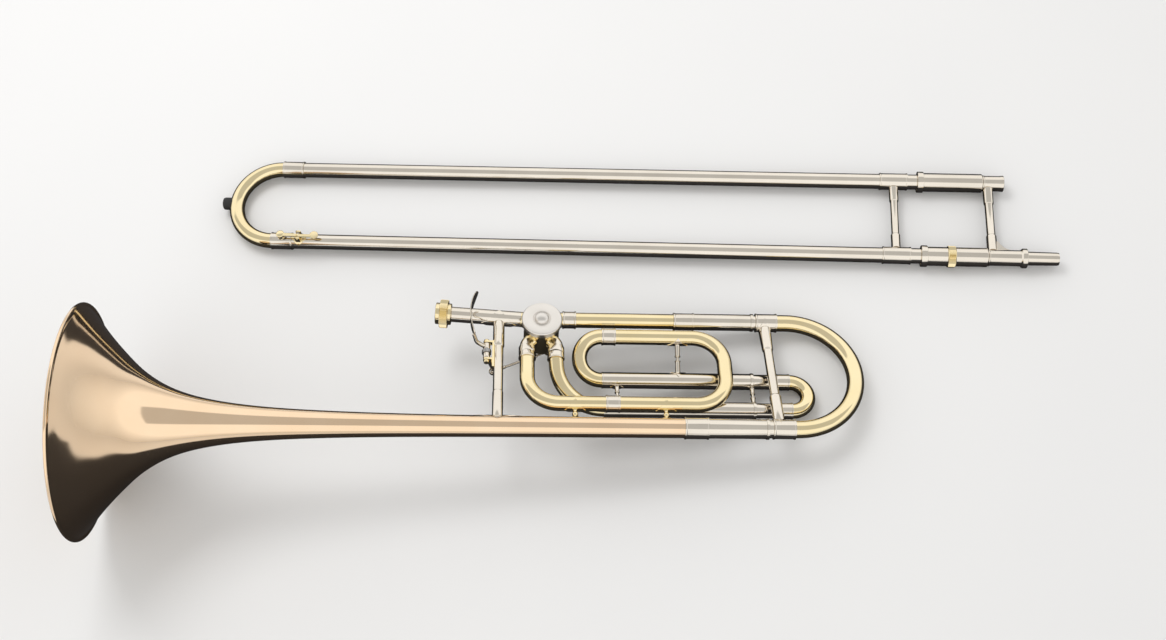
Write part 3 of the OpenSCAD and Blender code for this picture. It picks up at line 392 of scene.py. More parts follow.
def make_bell():
    outside = flare_outline()
    # The sheet runs into the wire at the rim.
    edge = [(RIM_WIRE, RIM_R - 0.9), (2.2, RIM_R - 1.9)]
    inside = [(x, r - 0.7) for x, r in outside]
    Shape(BELL).lathe(edge + outside + inside[::-1] + [(1.4, RIM_R - 2.4)], soften=0,
                      steps=240).show("bell_flare")
    around = [math.radians(a) for a in range(0, 360, 15)]
    wire = [(RIM_WIRE + RIM_WIRE * math.cos(a),
             RIM_R - RIM_WIRE + RIM_WIRE * math.sin(a)) for a in around]
    Shape(BELL).lathe(wire, soften=0, steps=240).show("bell_rim_wire")


# ------------------------------------------------------------------ bell section: main tubing
BELL_FERRULE, BELL_OUTER, BELL_OUTER_END = 549, 566, 628
NECK_FERRULE, NECK_OUTER, NECK_OUTER_END = 545.5, 565.5, 624
OUTPUT, OUTPUT_FERRULE_END = 441.5, 450.5
RING_LEN = 3
CROOK_END, CROOK_R, CROOK_FERRULE_END = 655.5, 8.1, 647
TUNING_NECK, TUNING_BELL, TUNING_BELL_END = 626, 631.5, 652.5
CROOK_START = 642
NECK_LEG, BELL_LEG = 574, 578
BELL_AXIS = Vector((0, 0, 0))


def ferrule(shape, x, at, length, outer, inner, way=X, lip=0.45):
    return shape.tube(X * x + at, way, length, outer, inner, lip, lip_len=1.3, soften=0.25)


def make_stem_joints():
    length = BELL_OUTER + 5.5 - BELL_FERRULE
    ferrule(Shape(BELL), BELL_FERRULE, BELL_AXIS, length, 9.9, 9.15).show("bell_ferrule")
    ring_at = BELL_OUTER_END - RING_LEN
    outer = Shape(BELL).tube(X * BELL_OUTER, X, ring_at - BELL_OUTER, 9.2, 8.5)
    outer.tube(X * ring_at, X, RING_LEN, 9.8, 8.55, soften=0.6).show("bell_outer_tube")
    ferrule(Shape(BELL), NECK_FERRULE, NECK, 20, 8.3, 7.4).show("neck_ferrule")
    ring_at = NECK_OUTER_END - RING_LEN
    outer = Shape(BELL).tube(X * NECK_OUTER + NECK, X, ring_at - NECK_OUTER, 8.1, 7.5)
    outer.tube(X * ring_at + NECK, X, RING_LEN, 8.7, 7.55, soften=0.6).show("neck_outer_tube")
    Shape(BELL).tube(X * OUTPUT + NECK, X, 114, 7.4, 6.8).show("output_tube")
    start = VALVE.x + KNUCKLE_RUN
    ferrule(Shape(BELL), start, NECK, OUTPUT_FERRULE_END - start, 8.2, 7.4).show("output_ferrule")


def make_tuning_slide():
    route = turn(line(X * CROOK_START + NECK, X * CROOK_END + NECK), LEG_GAP / 2, 180, -Y, step=2)
    route = go(route, CROOK_END - CROOK_START)
    Shape(BELL).pipe(route, CROOK_R, CROOK_R - WALL, steps=80).show("tuning_crook")
    both = ferrule(Shape(BELL), TUNING_NECK, NECK, CROOK_FERRULE_END - TUNING_NECK, 8.8, 7.45)
    ferrule(both, TUNING_BELL, BELL_AXIS, TUNING_BELL_END - TUNING_BELL, 9.1, 8.45)
    both.show("tuning_ferrules")
    neck_leg = Shape(BELL).tube(X * NECK_LEG + NECK, X, CROOK_START - NECK_LEG, 7.45, 6.85)
    neck_leg.show("tuning_neck_leg")
    bell_leg = Shape(BELL).tube(X * BELL_LEG, X, CROOK_START - BELL_LEG, 8.45, 7.85)
    bell_leg.show("tuning_bell_leg")
    low, high = Vector((638.5, 0, 0)), Vector((634.5, LEG_GAP, 0))
    brace = Shape(BELL).lathe([(8, 0), (8, 5.6), (36, 5.6), (37, 5.1), (37.4, 4.5), (89.6, 4.5),
                               (90, 5.2), (91, 5.3), (115, 6.2), (115, 0)], low, high - low,
                              soften=0.5)
    brace.leaf(line(low - X * 8, low + X * 8, 25), 9.1, Y, 75)
    brace.leaf(line(high - X * 8, high + X * 8, 25), 8.8, -Y, 85)
    brace.show("tuning_brace")


# ------------------------------------------------------------------ bell section: receiver
# Each knuckle leaves the casing at PORT_ANGLE from its tube's direction, then bends into that tube.
PORT_ANGLE, PORT_SIDE, KNUCKLE_OUT = 38.5, 13.6, 18.5
PORT_SIN, PORT_COS = math.sin(math.radians(PORT_ANGLE)), math.cos(math.radians(PORT_ANGLE))
KNUCKLE_BEND = (PORT_SIDE - KNUCKLE_OUT * PORT_SIN) / (1 - PORT_COS)
KNUCKLE_RUN = KNUCKLE_OUT * PORT_COS + KNUCKLE_BEND * PORT_SIN
RECEIVER_SLOPE = 4.2
RECEIVER_R, RECEIVER_LEN = 7.4, 67.7
BRACE_X = 376


def knuckle(angle, side, degrees):
    """From inside the casing out along a diagonal, then round a bend to that side."""
    out = Vector((math.cos(math.radians(angle)), math.sin(math.radians(angle)), 0))
    return turn(line(VALVE + out * 14, VALVE + out * KNUCKLE_OUT), KNUCKLE_BEND, degrees,
                Z.cross(out) * side, step=3)


RECEIVER_ROUTE = knuckle(180 - PORT_ANGLE, 1, PORT_ANGLE - RECEIVER_SLOPE)
RECEIVER_START, RECEIVER_WAY = RECEIVER_ROUTE[-1]


def make_receiver():
    tube = Shape(BELL).tube(RECEIVER_START, RECEIVER_WAY, RECEIVER_LEN, RECEIVER_R, 6.8, soften=0.3)
    tube.lathe([(0, 6.8), (0, 8.9), (9, 8.9), (9, 6.8)],
               RECEIVER_START + RECEIVER_WAY * RECEIVER_LEN, RECEIVER_WAY, soften=0.4)
    tube.show("receiver_tube")
    nut = [(0.1, 8.95), (0.1, 10.1), (0.5, 10.4), (2.9, 10.4), (3.2, 13.3, 0.3), (3.8, 13.8, 0.4),
           (10.4, 13.8, 0.4), (11.0, 13.3, 0.3), (11.3, 10.4), (14.7, 10.4), (15.1, 10.0),
           (15.1, 8.2), (9.2, 8.2), (9.2, 8.95)]
    Shape(BELL).lathe(nut, RECEIVER_START + RECEIVER_WAY * RECEIVER_LEN, RECEIVER_WAY, soften=0.15,
                      steps=240).show("lock_nut")
    brace = [(9, 0), (9, 5.1), (37, 5.1), (38, 4.9), (38.4, 4.7), (89.4, 4.7), (89.8, 5.1),
             (91, 5.5), (118, 5.5), (118, 0)]
    Shape(BELL).lathe(brace, X * BRACE_X, Y, soften=0.4).show("hand_brace")
    at = (RECEIVER_START.x - BRACE_X) / -RECEIVER_WAY.x
    middle = RECEIVER_START + RECEIVER_WAY * at
    half = RECEIVER_WAY * 17
    leaves = Shape(BELL).leaf(line(middle + half, middle - half, 31), RECEIVER_R, -Y, 125)
    leaves.leaf(line((BRACE_X - 28, 0, 0), (BRACE_X + 28, 0, 0), 31), stem_radius(BRACE_X), Y, 72,
                sharp=1.0)
    leaves.show("hand_brace_flanges")


# ------------------------------------------------------------------ rotary valve
def make_valve():
    casing = Shape(BELL).lathe([(-16, 3.1), (-16, 15.6), (-14.8, 17), (17, 17), (17, 15), (-12, 15),
                                (-12, 3.1)], VALVE, Z, soften=0.4, steps=96)
    ports = ((180 - PORT_ANGLE, 1, PORT_ANGLE - RECEIVER_SLOPE), (PORT_ANGLE, -1, PORT_ANGLE),
             (270 - PORT_ANGLE, 1, PORT_ANGLE), (270 + PORT_ANGLE, -1, PORT_ANGLE))
    for angle, side, degrees in ports:
        casing.pipe(knuckle(angle, side, degrees), 7.4, 6)
    casing.show("valve_casing")
    dome = [(20.5 + 5.0 * math.cos(math.radians(a)), 7.2 * math.sin(math.radians(a)))
            for a in range(84, 0, -7)]
    cap = [(14.5, 17.05), (14.5, 18.9), (14.9, 19.3), (19.3, 19.3), (20.3, 18.6), (20.5, 17.9),
           (20.5, 8.6), (19.9, 8.1), (20.0, 7.3)] + dome + [(25.5, 0)]
    Shape(BELL).lathe([(17.2, 0), (17.2, 17.05)] + cap, VALVE, Z, soften=0.12,
                      steps=128).show("valve_cap")


# ------------------------------------------------------------------ thumb lever and link
LEVER_X = 364.7
LEVER_DOWN, LEVER_LEAN = 26, math.radians(15)
LEVER_PIN = Vector((LEVER_X + LEVER_DOWN * math.sin(LEVER_LEAN), 79,
                    -LEVER_DOWN * math.cos(LEVER_LEAN)))
LINK_Z = -25
EAR_LOW, EAR_HIGH, EAR_T, EAR_R, BRACKET_FOOT = 73.6, 93.4, 2, 3.2, 65
LEVER_HUB_R = 3.4
STOP_PIN_R = 9.5


def make_lever():
    lever = Shape(BELL)
    # The paddle is a leaf of stadium outline, bent round an upright axis that stands a little
    # below the middle of its length.
    bend_r, half_len, half_high, above_hub = 62, 25.5, 8, 2
    hub = Vector((LEVER_X - 15.5 + bend_r, 112, 22))
    rings = []
    for k in range(41):
        s = -math.cos(math.pi * k / 40)
        a = (s * half_len + above_hub) / bend_r
        out = Vector((-math.cos(a), math.sin(a), 0))
        centre = hub + out * bend_r
        high = half_high * max(0, 1 - abs(s) ** 3.2) ** 0.5
        if high < 0.05:
            rings.append([centre])
            continue
        rings.append([centre + Z * high * math.cos(b) * abs(math.cos(b)) ** -0.25
                      + out * 0.85 * math.copysign(abs(math.sin(b)) ** 0.6, math.sin(b))
                      for b in (2 * math.pi * (i + 0.5) / 32 for i in range(32))])
    lever.skin(rings, False)
    foot = Vector((LEVER_X, 89, 0))
    elbow = Vector((LEVER_X - 9.5, 89, 8.5))
    arm = line(Vector((LEVER_X - 12.4, 92, 18)), elbow, 8)[:-1] + line(elbow, foot, 8)
    last = len(arm) - 1
    points = [(arm[max(k - 1, 0)][0] + arm[k][0] + arm[min(k + 1, last)][0]) / 3
              for k in range(last + 1)]
    route = [(p, (points[min(k + 1, len(points) - 1)] - points[max(k - 1, 0)]).normalized())
             for k, p in enumerate(points)]
    lever.pipe(route, lambda t: 1.7 + 0.5 * t, steps=24)
    lever.lathe([(76, 1.65), (76, 3.0), (77, LEVER_HUB_R), (83, LEVER_HUB_R), (84, 2.6), (86, 2.6),
                 (87, LEVER_HUB_R), (92, LEVER_HUB_R), (93, 3.0), (93, 1.65)], X * LEVER_X, Y,
                soften=0.3, steps=48)
    down = line(Vector((LEVER_X, 79, 0)), LEVER_PIN, 10)
    lever.pipe(down, lambda t: 2.1 - 0.6 * t, steps=24).ball(LEVER_PIN, 2.6)
    lever.show("thumb_lever")

    pivot = Shape(BELL).lathe([(70.9, 0), (70.9, 2.4), (73.3, 2.8), (73.3, 1.6), (95.4, 1.6),
                               (95.4, 3.1), (97.2, 2.6), (97.8, 1.6), (97.8, 0)], X * LEVER_X, Y,
                              soften=0.25, steps=40)
    pivot.show("lever_pivot")
    bracket = Shape(BELL)
    for y in (EAR_LOW, EAR_HIGH):
        angles = [math.radians(d) for d in range(90, 271, 15)]
        outline = [(EAR_R * math.cos(a), EAR_R * math.sin(a)) for a in angles]
        bracket.plate(outline + [(8, -2.2), (8, 2.2)], (LEVER_X, y, 0), X, Z, Y, EAR_T)
    bracket.plate([(5.4, -3.4), (7.4, -3.4), (7.4, 3.4), (5.4, 3.4)], (LEVER_X, BRACKET_FOOT, 0),
                  X, Z, Y, EAR_HIGH + EAR_T - BRACKET_FOOT)
    bracket.pipe(line((LEVER_X + 5.4, 75, 0), (LEVER_X + 7, 67, 0)), 1.6, steps=20)
    bracket.show("lever_bracket")
    Shape(BELL).pipe(helix((LEVER_X, 81.5, 0), LEVER_HUB_R + 0.8, 0.9, 4), 0.35,
                     steps=10).show("lever_spring")

    stop = math.radians(45)
    end = VALVE + Vector((STOP_PIN_R * math.cos(stop), -STOP_PIN_R * math.sin(stop), LINK_Z))
    start = Vector((LEVER_PIN.x, LEVER_PIN.y, LINK_Z))
    way = (end - start).normalized()
    rod = Shape(BELL)
    rod.lathe([(-1.2, 3.2), (-1.2, 4.6), (1.2, 4.6), (1.2, 3.2)], start, Z, soften=0.3, steps=40)
    rod.pipe(line(start + way * 4.3, end - way * 3, 2), 1.0, steps=20)
    thread = [(12 + 0.5 * k, 1.3 if k % 2 else 1.15) for k in range(1, 60)]
    rod.lathe([(8, 0), (8, 1.7), (12, 1.7)] + thread + [(42, 1.7), (46, 1.7), (46, 0)], start, way,
              soften=0.05, steps=24)
    rod.lathe([(-1.2, 0), (-1.2, 3.6), (1.2, 3.6), (1.2, 0)], end, Z, soften=0.3, steps=40)
    rod.lathe([(-3, 0), (-3, 2.4), (-1, 2.4), (-1, 0)], end, Z, soften=0.3, steps=40)
    rod.show("link_rod")


def helix(start, radius, pitch, turns):
    """A coil's route, wound round a line along +Y."""
    start, steps = Vector(start), 24
    made = []
    for k in range(turns * steps + 1):
        a = 2 * math.pi * k / steps
        centre = start + Vector((radius * math.cos(a), pitch * k / steps, -radius * math.sin(a)))
        way = Vector((-radius * math.sin(a), pitch / (2 * math.pi), -radius * math.cos(a)))
        made.append((centre, way.normalized()))
    return made


# ------------------------------------------------------------------ F attachment
F_R, F_LEG_R, F_DROP = 7.2, 7.8, 16.3
F_LOW, F_HIGH = 26, 103.5
LEG_LOW, LEG_HIGH = 31, 64
PORT_Y, PORT_FERRULE = VALVE.y - KNUCKLE_RUN, 12.5
F_BEND_X, F_JOINT_LOW, F_JOINT_HIGH, F_JOINT_LEN = 562, 476.7, 475, 13.5
F_CORNER = 30
LOOP_BRACE_X, LEG_BRACE_X, POSTS_X = 548.5, 489.5, (448, 533)
LEG_END, LEG_RING_R = 621, F_LEG_R + 0.6
SECOND_BEND = 45
LEFT_CROOK_R = math.hypot(F_HIGH - LEG_HIGH, F_DROP) / 2
LEFT_CROOK_SIDE = Vector((0, LEG_HIGH - F_HIGH, -F_DROP)).normalized()


def second_tube():
    start = Vector((VALVE.x + PORT_SIDE, PORT_Y - PORT_FERRULE / 2, 0))
    run = Vector((3, LEG_LOW - start.y, -F_DROP))
    angle = run.angle(X)
    straight = run.length - SECOND_BEND * math.tan(angle / 2)
    route = line(start, start + run.normalized() * straight)
    return turn(route, SECOND_BEND, math.degrees(angle), X, step=3)


def make_f_tubes():
    start = Vector((VALVE.x - PORT_SIDE, PORT_Y - PORT_FERRULE / 2, 0))
    route = turn(line(start, (start.x, F_LOW + F_CORNER, 0)), F_CORNER, 90, X, step=3)
    end = F_JOINT_LOW + F_JOINT_LEN / 2
    Shape(BELL).pipe(go(route, end - route[-1][0].x), F_R, F_R - WALL,
                     steps=72).show("f_first_tube")
    Shape(BELL).pipe(second_tube(), F_R, F_R - WALL, steps=72).show("f_second_tube")
    joints_of_loop = ferrule(Shape(BELL), F_JOINT_LOW, Y * F_LOW, F_JOINT_LEN, 8.0, F_R)
    ferrule(joints_of_loop, F_JOINT_HIGH, Y * F_HIGH, F_JOINT_LEN, 8.0, F_R).show("f_loop_ferrules")
    route = line((end, F_LOW, 0), (F_BEND_X, F_LOW, 0))
    route = go(turn(route, F_CORNER, 90, Y, step=2), F_HIGH - F_LOW - 2 * F_CORNER)
    route = turn(route, F_CORNER, 90, -X, step=2)
    high = F_JOINT_HIGH + F_JOINT_LEN / 2
    Shape(BELL).pipe(go(route, F_BEND_X - high), F_R, F_R - WALL, steps=80).show("f_right_crook")
    route = turn(line((high, F_HIGH, 0), (F_JOINT_HIGH, F_HIGH, 0)), LEFT_CROOK_R, 180,
                 LEFT_CROOK_SIDE, step=3)
    Shape(BELL).pipe(route, F_R, F_R - WALL, steps=72).show("f_left_crook")


def make_f_legs():
    for node, x, y in (("f_upper_leg", F_JOINT_HIGH, LEG_HIGH),
                       ("f_lower_leg", second_tube()[-1][0].x, LEG_LOW)):
        ring_at = LEG_END - RING_LEN
        leg = Shape(BELL).tube((x, y, -F_DROP), X, ring_at - x, F_LEG_R, F_R, lip=0.2, lips="start")
        leg.tube((ring_at, y, -F_DROP), X, RING_LEN, LEG_RING_R, F_R + 0.05, soften=0.5).show(node)
    ports = Shape(BELL)
    for side, angle in ((-1, 270 - PORT_ANGLE), (1, 270 + PORT_ANGLE)):
        top = Vector((VALVE.x + side * PORT_SIDE, PORT_Y, 0))
        way = -Y if side < 0 else (Vector((3, LEG_LOW - top.y,
                                           -F_DROP)).normalized() - Y).normalized()
        ports.tube(top, -Y, PORT_FERRULE / 2 + 0.5, 8.2, 6)
        ports.tube(top - Y * (PORT_FERRULE / 2 + 0.3), way, PORT_FERRULE / 2, 8.1, F_R, lip=0.3,
                   lips="end")
        # a pointed tongue of the ferrule lies up the outside of the knuckle
        tongue = knuckle(angle, -side, PORT_ANGLE)[::-1]
        tongue = [(c, -w) for c, w in tongue if (c - top).length < 11]
        for face in (Z, -Z):
            ports.leaf(tongue, 7.4, face, 48, tips="end", sharp=0.85)
    ports.show("port_ferrules")


def post(shape, low, high, low_r, high_r, r=2.0):
    """A turned post between two tubes: a ring near each end and a slim waist."""
    way = (high - low).normalized()
    length = (high - low).length
    a, b = low_r - 0.3, length - high_r + 0.3
    m = length / 2 + (low_r - high_r) / 2
    outline = [(a, 0), (a, r + 0.5), (a + 1.2, r), (m - 3.2, r * 0.95), (m - 2.8, r * 1.2),
               (m - 2.0, r * 1.2), (m - 1.4, r * 0.62), (m + 1.4, r * 0.62), (m + 2.0, r * 1.2),
               (m + 2.8, r * 1.2), (m + 3.2, r * 0.95), (b - 1.2, r), (b, r + 0.5), (b, 0)]
    shape.lathe(outline, low, way, soften=0.3, steps=40)


def short_post(shape, low, high, low_r, high_r, r=1.7):
    """A plain post between two tubes, a little thicker at both ends."""
    way, length = (high - low).normalized(), (high - low).length
    shape.lathe([(low_r - 0.3, 0), (low_r - 0.3, r + 0.6), (low_r + 1.2, r),
                 (length - high_r - 1.2, r), (length - high_r + 0.3, r + 0.6),
                 (length - high_r + 0.3, 0)], low, way, soften=0.3, steps=40)


def make_f_braces():
    braces = Shape(BELL)
    top, low = Vector((LOOP_BRACE_X, F_HIGH, 0)), Vector((LOOP_BRACE_X, LEG_HIGH, -F_DROP))
    way = (low - top).normalized()
    post(braces, top, low, F_R, F_LEG_R, r=2.4)
    braces.leaf(line(top - X * 10, top + X * 10, 21), F_R, way, 75)
    braces.leaf(line(low - X * 8, low + X * 8, 21), F_LEG_R, -way, 70)
    for x, leg_r in ((LEG_BRACE_X, F_LEG_R), (LEG_END - RING_LEN / 2, LEG_RING_R)):
        a, b = Vector((x, LEG_LOW, -F_DROP)), Vector((x, LEG_HIGH, -F_DROP))
        post(braces, a, b, leg_r, leg_r, r=2.1)
        if leg_r == F_LEG_R:
            braces.leaf(line(a - X * 6.5, a + X * 6.5, 21), F_LEG_R, Y, 50)
            braces.leaf(line(b - X * 6.5, b + X * 6.5, 21), F_LEG_R, -Y, 50)
    braces.show("f_braces")
    posts = Shape(BELL)
    for x in POSTS_X:
        stem = stem_radius(x)
        a, b = Vector((x, 0, 0)), Vector((x, F_LOW, 0))
        short_post(posts, a, b, stem, F_R)
        posts.ball((x, 14, 0), 2.9)
        posts.leaf(line(b - X * 10, b + X * 10, 21), F_R, -Y, 100)
        posts.leaf(line(a - X * 7, a + X * 7, 21), stem, Y, 42)
    posts.show("bell_posts")


def make_f_slide():
    start, crook_x = 550, 656
    route = turn(line((crook_x - 1, LEG_LOW, -F_DROP), (crook_x, LEG_LOW, -F_DROP)),
                 (LEG_HIGH - LEG_LOW) / 2, 180, Y)
    Shape(BELL).pipe(go(route, 1), F_R, F_R - WALL, steps=72).show("f_slide_crook")
    ferrules, legs = Shape(BELL), Shape(BELL)
    for y in (LEG_LOW, LEG_HIGH):
        ferrule(ferrules, 642.5, Vector((0, y, -F_DROP)), crook_x - 642.5, 7.8, 7.15, lip=0.25)
        legs.tube((start, y, -F_DROP), X, crook_x - 1 - start, 7.15, 6.55)
    ferrules.show("f_slide_ferrules")
    legs.show("f_slide_legs")


# ------------------------------------------------------------------ hand slide
UPPER, LOWER = Y * SLIDE_HALF, -Y * SLIDE_HALF
BARREL, BARREL_END, BARREL_R, COLLAR_R = -71, -5, 9.5, 10.8
OUTER_START, OUTER_LEN, OUTER_R, OUTER_BORE = -63, 670, 7.7, 7.4
INNER_R, INNER_BORE, STOCKING_R = 7.25, 6.95, 7.35
OUTER_END = OUTER_START - OUTER_LEN
SLEEVE_START, SLEEVE_LEN, BOW_FERRULE_LEN, SLEEVE_R = -109, 28, 22, 8.5
OUTER_BRACE_X = -95


def make_inner_slide():
    tubes, barrels = Shape(SLIDE), Shape(SLIDE)
    for y in (UPPER, LOWER):
        start = OUTER_END + 10
        stocking = [(start, INNER_BORE), (start, STOCKING_R), (start + 120, STOCKING_R),
                    (start + 121, INNER_R), (BARREL_END, INNER_R), (BARREL_END, INNER_BORE)]
        tubes.lathe(stocking, y, X, soften=0.2)
        barrel = [(BARREL, 8.1), (BARREL, COLLAR_R), (BARREL + 6, COLLAR_R), (BARREL + 6.2,
                                                                              BARREL_R),
                  (BARREL_END - 1.2, BARREL_R), (BARREL_END - 0.6, BARREL_R - 0.6),
                  (BARREL_END - 0.6, INNER_R), (-12, INNER_R), (-12, 8.1)]
        barrels.lathe(barrel, y, X, soften=0.5)
    tubes.show("inner_tubes")
    barrels.show("cork_barrels")
    upper = [(BARREL_END, 6.35), (BARREL_END, 8.2), (BARREL_END + 1.2, 8.2),
             (BARREL_END + 1.5, 7.8), (11.5, 7.8), (13.5, 8.1), (15.6, 8.3), (16, 7.9), (16, 6.35)]
    Shape(SLIDE).lathe(upper, UPPER, X, soften=0.3).show("mouthpiece_receiver")
    lower = [(BARREL_END, 5.8), (BARREL_END, 8.5), (BARREL_END + 1.2, 8.5), (BARREL_END + 1.5, 8.0),
             (26.6, 8.0), (28.2, 9.6), (29, 9.8), (32.6, 9.8), (33, 9.4), (33, 6.9), (62, 6.55),
             (64, 6.2), (64, 5.8)]
    Shape(SLIDE).lathe(lower, LOWER, X, soften=0.25).show("slide_tenon")
    ring = [(-45, 9.55), (-45, 10.2), (-44.6, 10.6), (-44.2, 10.8, 0.5), (-37.8, 10.8, 0.5),
            (-37.4, 10.6), (-37, 10.2), (-37, 9.55)]
    Shape(SLIDE).lathe(ring, LOWER, X, soften=0.1, steps=120).show("lock_ring")
    make_grip_brace()


def make_grip_brace():
    brace = Shape(SLIDE)
    half = SLIDE_HALF
    brace.lathe([(7.2, 0), (7.2, 5.3), (8.4, 5.0), (24, 5.0), (25, 4.7), (25.3, 4.2), (61.7, 4.2),
                 (62, 4.7), (63, 5.0), (78.6, 5.0), (79.8, 5.3), (79.8, 0)], LOWER, Y, soften=0.4)
    foot = -half + 7.8
    curve = [(22 - 17.2 * math.cos(a), foot + 17.8 - 17.2 * math.sin(a))
             for a in (math.radians(d) for d in range(24, 88, 6))]
    brace.plate([(4.4, foot - 0.5), (4.4, foot + 11)] + curve + [(21, foot + 0.5),
                                                                 (21, foot - 0.5)],
                (0, 0, -0.8), X, Y, Z, 1.6)
    brace.show("grip_brace")


def make_outer_slide():
    tubes, sleeves, ends = Shape(SLIDE), Shape(SLIDE), Shape(SLIDE)
    for y in (UPPER, LOWER):
        tubes.tube(X * OUTER_END + y, X, OUTER_LEN, OUTER_R, OUTER_BORE)
        sleeves.tube(X * SLEEVE_START + y, X, SLEEVE_LEN, SLEEVE_R, OUTER_R, lip=0.35)
        ends.tube(X * OUTER_END + y, X, BOW_FERRULE_LEN, SLEEVE_R, OUTER_R, lip=0.35)
    tubes.show("outer_tubes")
    sleeves.show("outer_sleeves")
    ends.show("bow_ferrules")
    brace = [(8, 0), (8, 4.9), (9.2, 4.6), (23.4, 4.6), (24, 4.2), (24.3, 3.8), (62.7, 3.8),
             (63, 4.2), (63.6, 4.6), (77.8, 4.6), (79, 4.9), (79, 0)]
    Shape(SLIDE).lathe(brace, LOWER + X * OUTER_BRACE_X, Y, soften=0.4).show("outer_brace")
    route = turn(line((OUTER_END + 0.5, SLIDE_HALF, 0), (OUTER_END, SLIDE_HALF, 0)), SLIDE_HALF,
                 180, -Y, step=2)
    Shape(SLIDE).pipe(route, OUTER_R, OUTER_BORE, steps=72).show("slide_bow")
    tip = OUTER_END - SLIDE_HALF - OUTER_R
    bumper = [(-7, 0), (-7, 5.2), (-6.2, 6.2), (-5, 6.5), (2, 6.5), (5.5, 5.6), (5.5, 0)]
    Shape(SLIDE).lathe(bumper, X * tip, X, soften=0.6, steps=64).show("bow_bumper")


KEY_PIVOT, KEY_Z, NIPPLE = OUTER_END + 30, 12.5, OUTER_END + 12


def make_water_key():
    saddle = Shape(SLIDE)
    saddle.lathe([(4, 2.0), (4, 3.0), (8.2, 3.0), (8.6, 3.6), (9.4, 3.0), (11.6, 3.0), (11.6, 2.0)],
                 LOWER + X * NIPPLE, Z, soften=0.2, steps=40)
    for side in (-1, 1):
        saddle.plate([(-2.5, 6.5), (2.5, 6.5), (2.5, 13.6), (1.6, 14.5), (-1.6, 14.5),
                      (-2.5, 13.6)], LOWER + Vector((KEY_PIVOT, side * 4 - 0.8, 0)), X, Z, Y, 1.6)
    saddle.lathe([(-5.6, 0), (-5.6, 1), (5.6, 1), (5.6, 0)], LOWER + Vector((KEY_PIVOT, 0, KEY_Z)),
                 Y, steps=32)
    saddle.leaf(line(LOWER + X * (KEY_PIVOT - 8), LOWER + X * (KEY_PIVOT + 8), 21), OUTER_R, Z, 62,
                sharp=0.8)
    saddle.show("water_key_saddle")
    key = Shape(SLIDE)
    key.lathe([(-2.8, 1.05), (-2.8, 2.4), (0.4, 2.4), (0.4, 1.05)],
              LOWER + Vector((KEY_PIVOT, 0, KEY_Z)), Y, steps=40)
    key.plate([(0.5, -2.6), (KEY_PIVOT - NIPPLE - 1, -2.6), (KEY_PIVOT - NIPPLE - 1, 0.4), (3, 0.8),
               (0.5, 1.6)], LOWER + Vector((NIPPLE, 0, KEY_Z + 1.4)), X, Y, Z, 1.6)
    key.lathe([(0, 0), (0, 4.2), (1.1, 4.2), (1.8, 3.2), (1.8, 0)], LOWER + Vector((NIPPLE, 0,
                                                                                    KEY_Z + 1.3)),
              Z, soften=0.3, steps=48)
    key.plate([(0, -2.6), (14, -2.6), (14, 0.4), (0, 0.4)],
              LOWER + Vector((KEY_PIVOT, 0, KEY_Z + 0.7)), X, Y, Z, 1.5)
    key.lathe([(0, 0), (0, 4.2), (0.4, 4.5), (1.2, 4.5), (1.7, 3.8), (1.4, 0)],
              LOWER + Vector((KEY_PIVOT + 17, 0, KEY_Z + 0.6)), Z, soften=0.3, steps=48)
    key.show("water_key")
    coil = helix(LOWER + Vector((KEY_PIVOT, 0.8, KEY_Z)), 1.5, 0.7, 3)
    Shape(SLIDE).pipe(coil, 0.25, steps=8).show("water_key_spring")


make_bell()
make_stem_joints()
make_tuning_slide()
make_receiver()
make_valve()
make_lever()
make_f_tubes()
make_f_legs()
make_f_braces()
make_f_slide()
make_inner_slide()
make_outer_slide()
make_water_key()


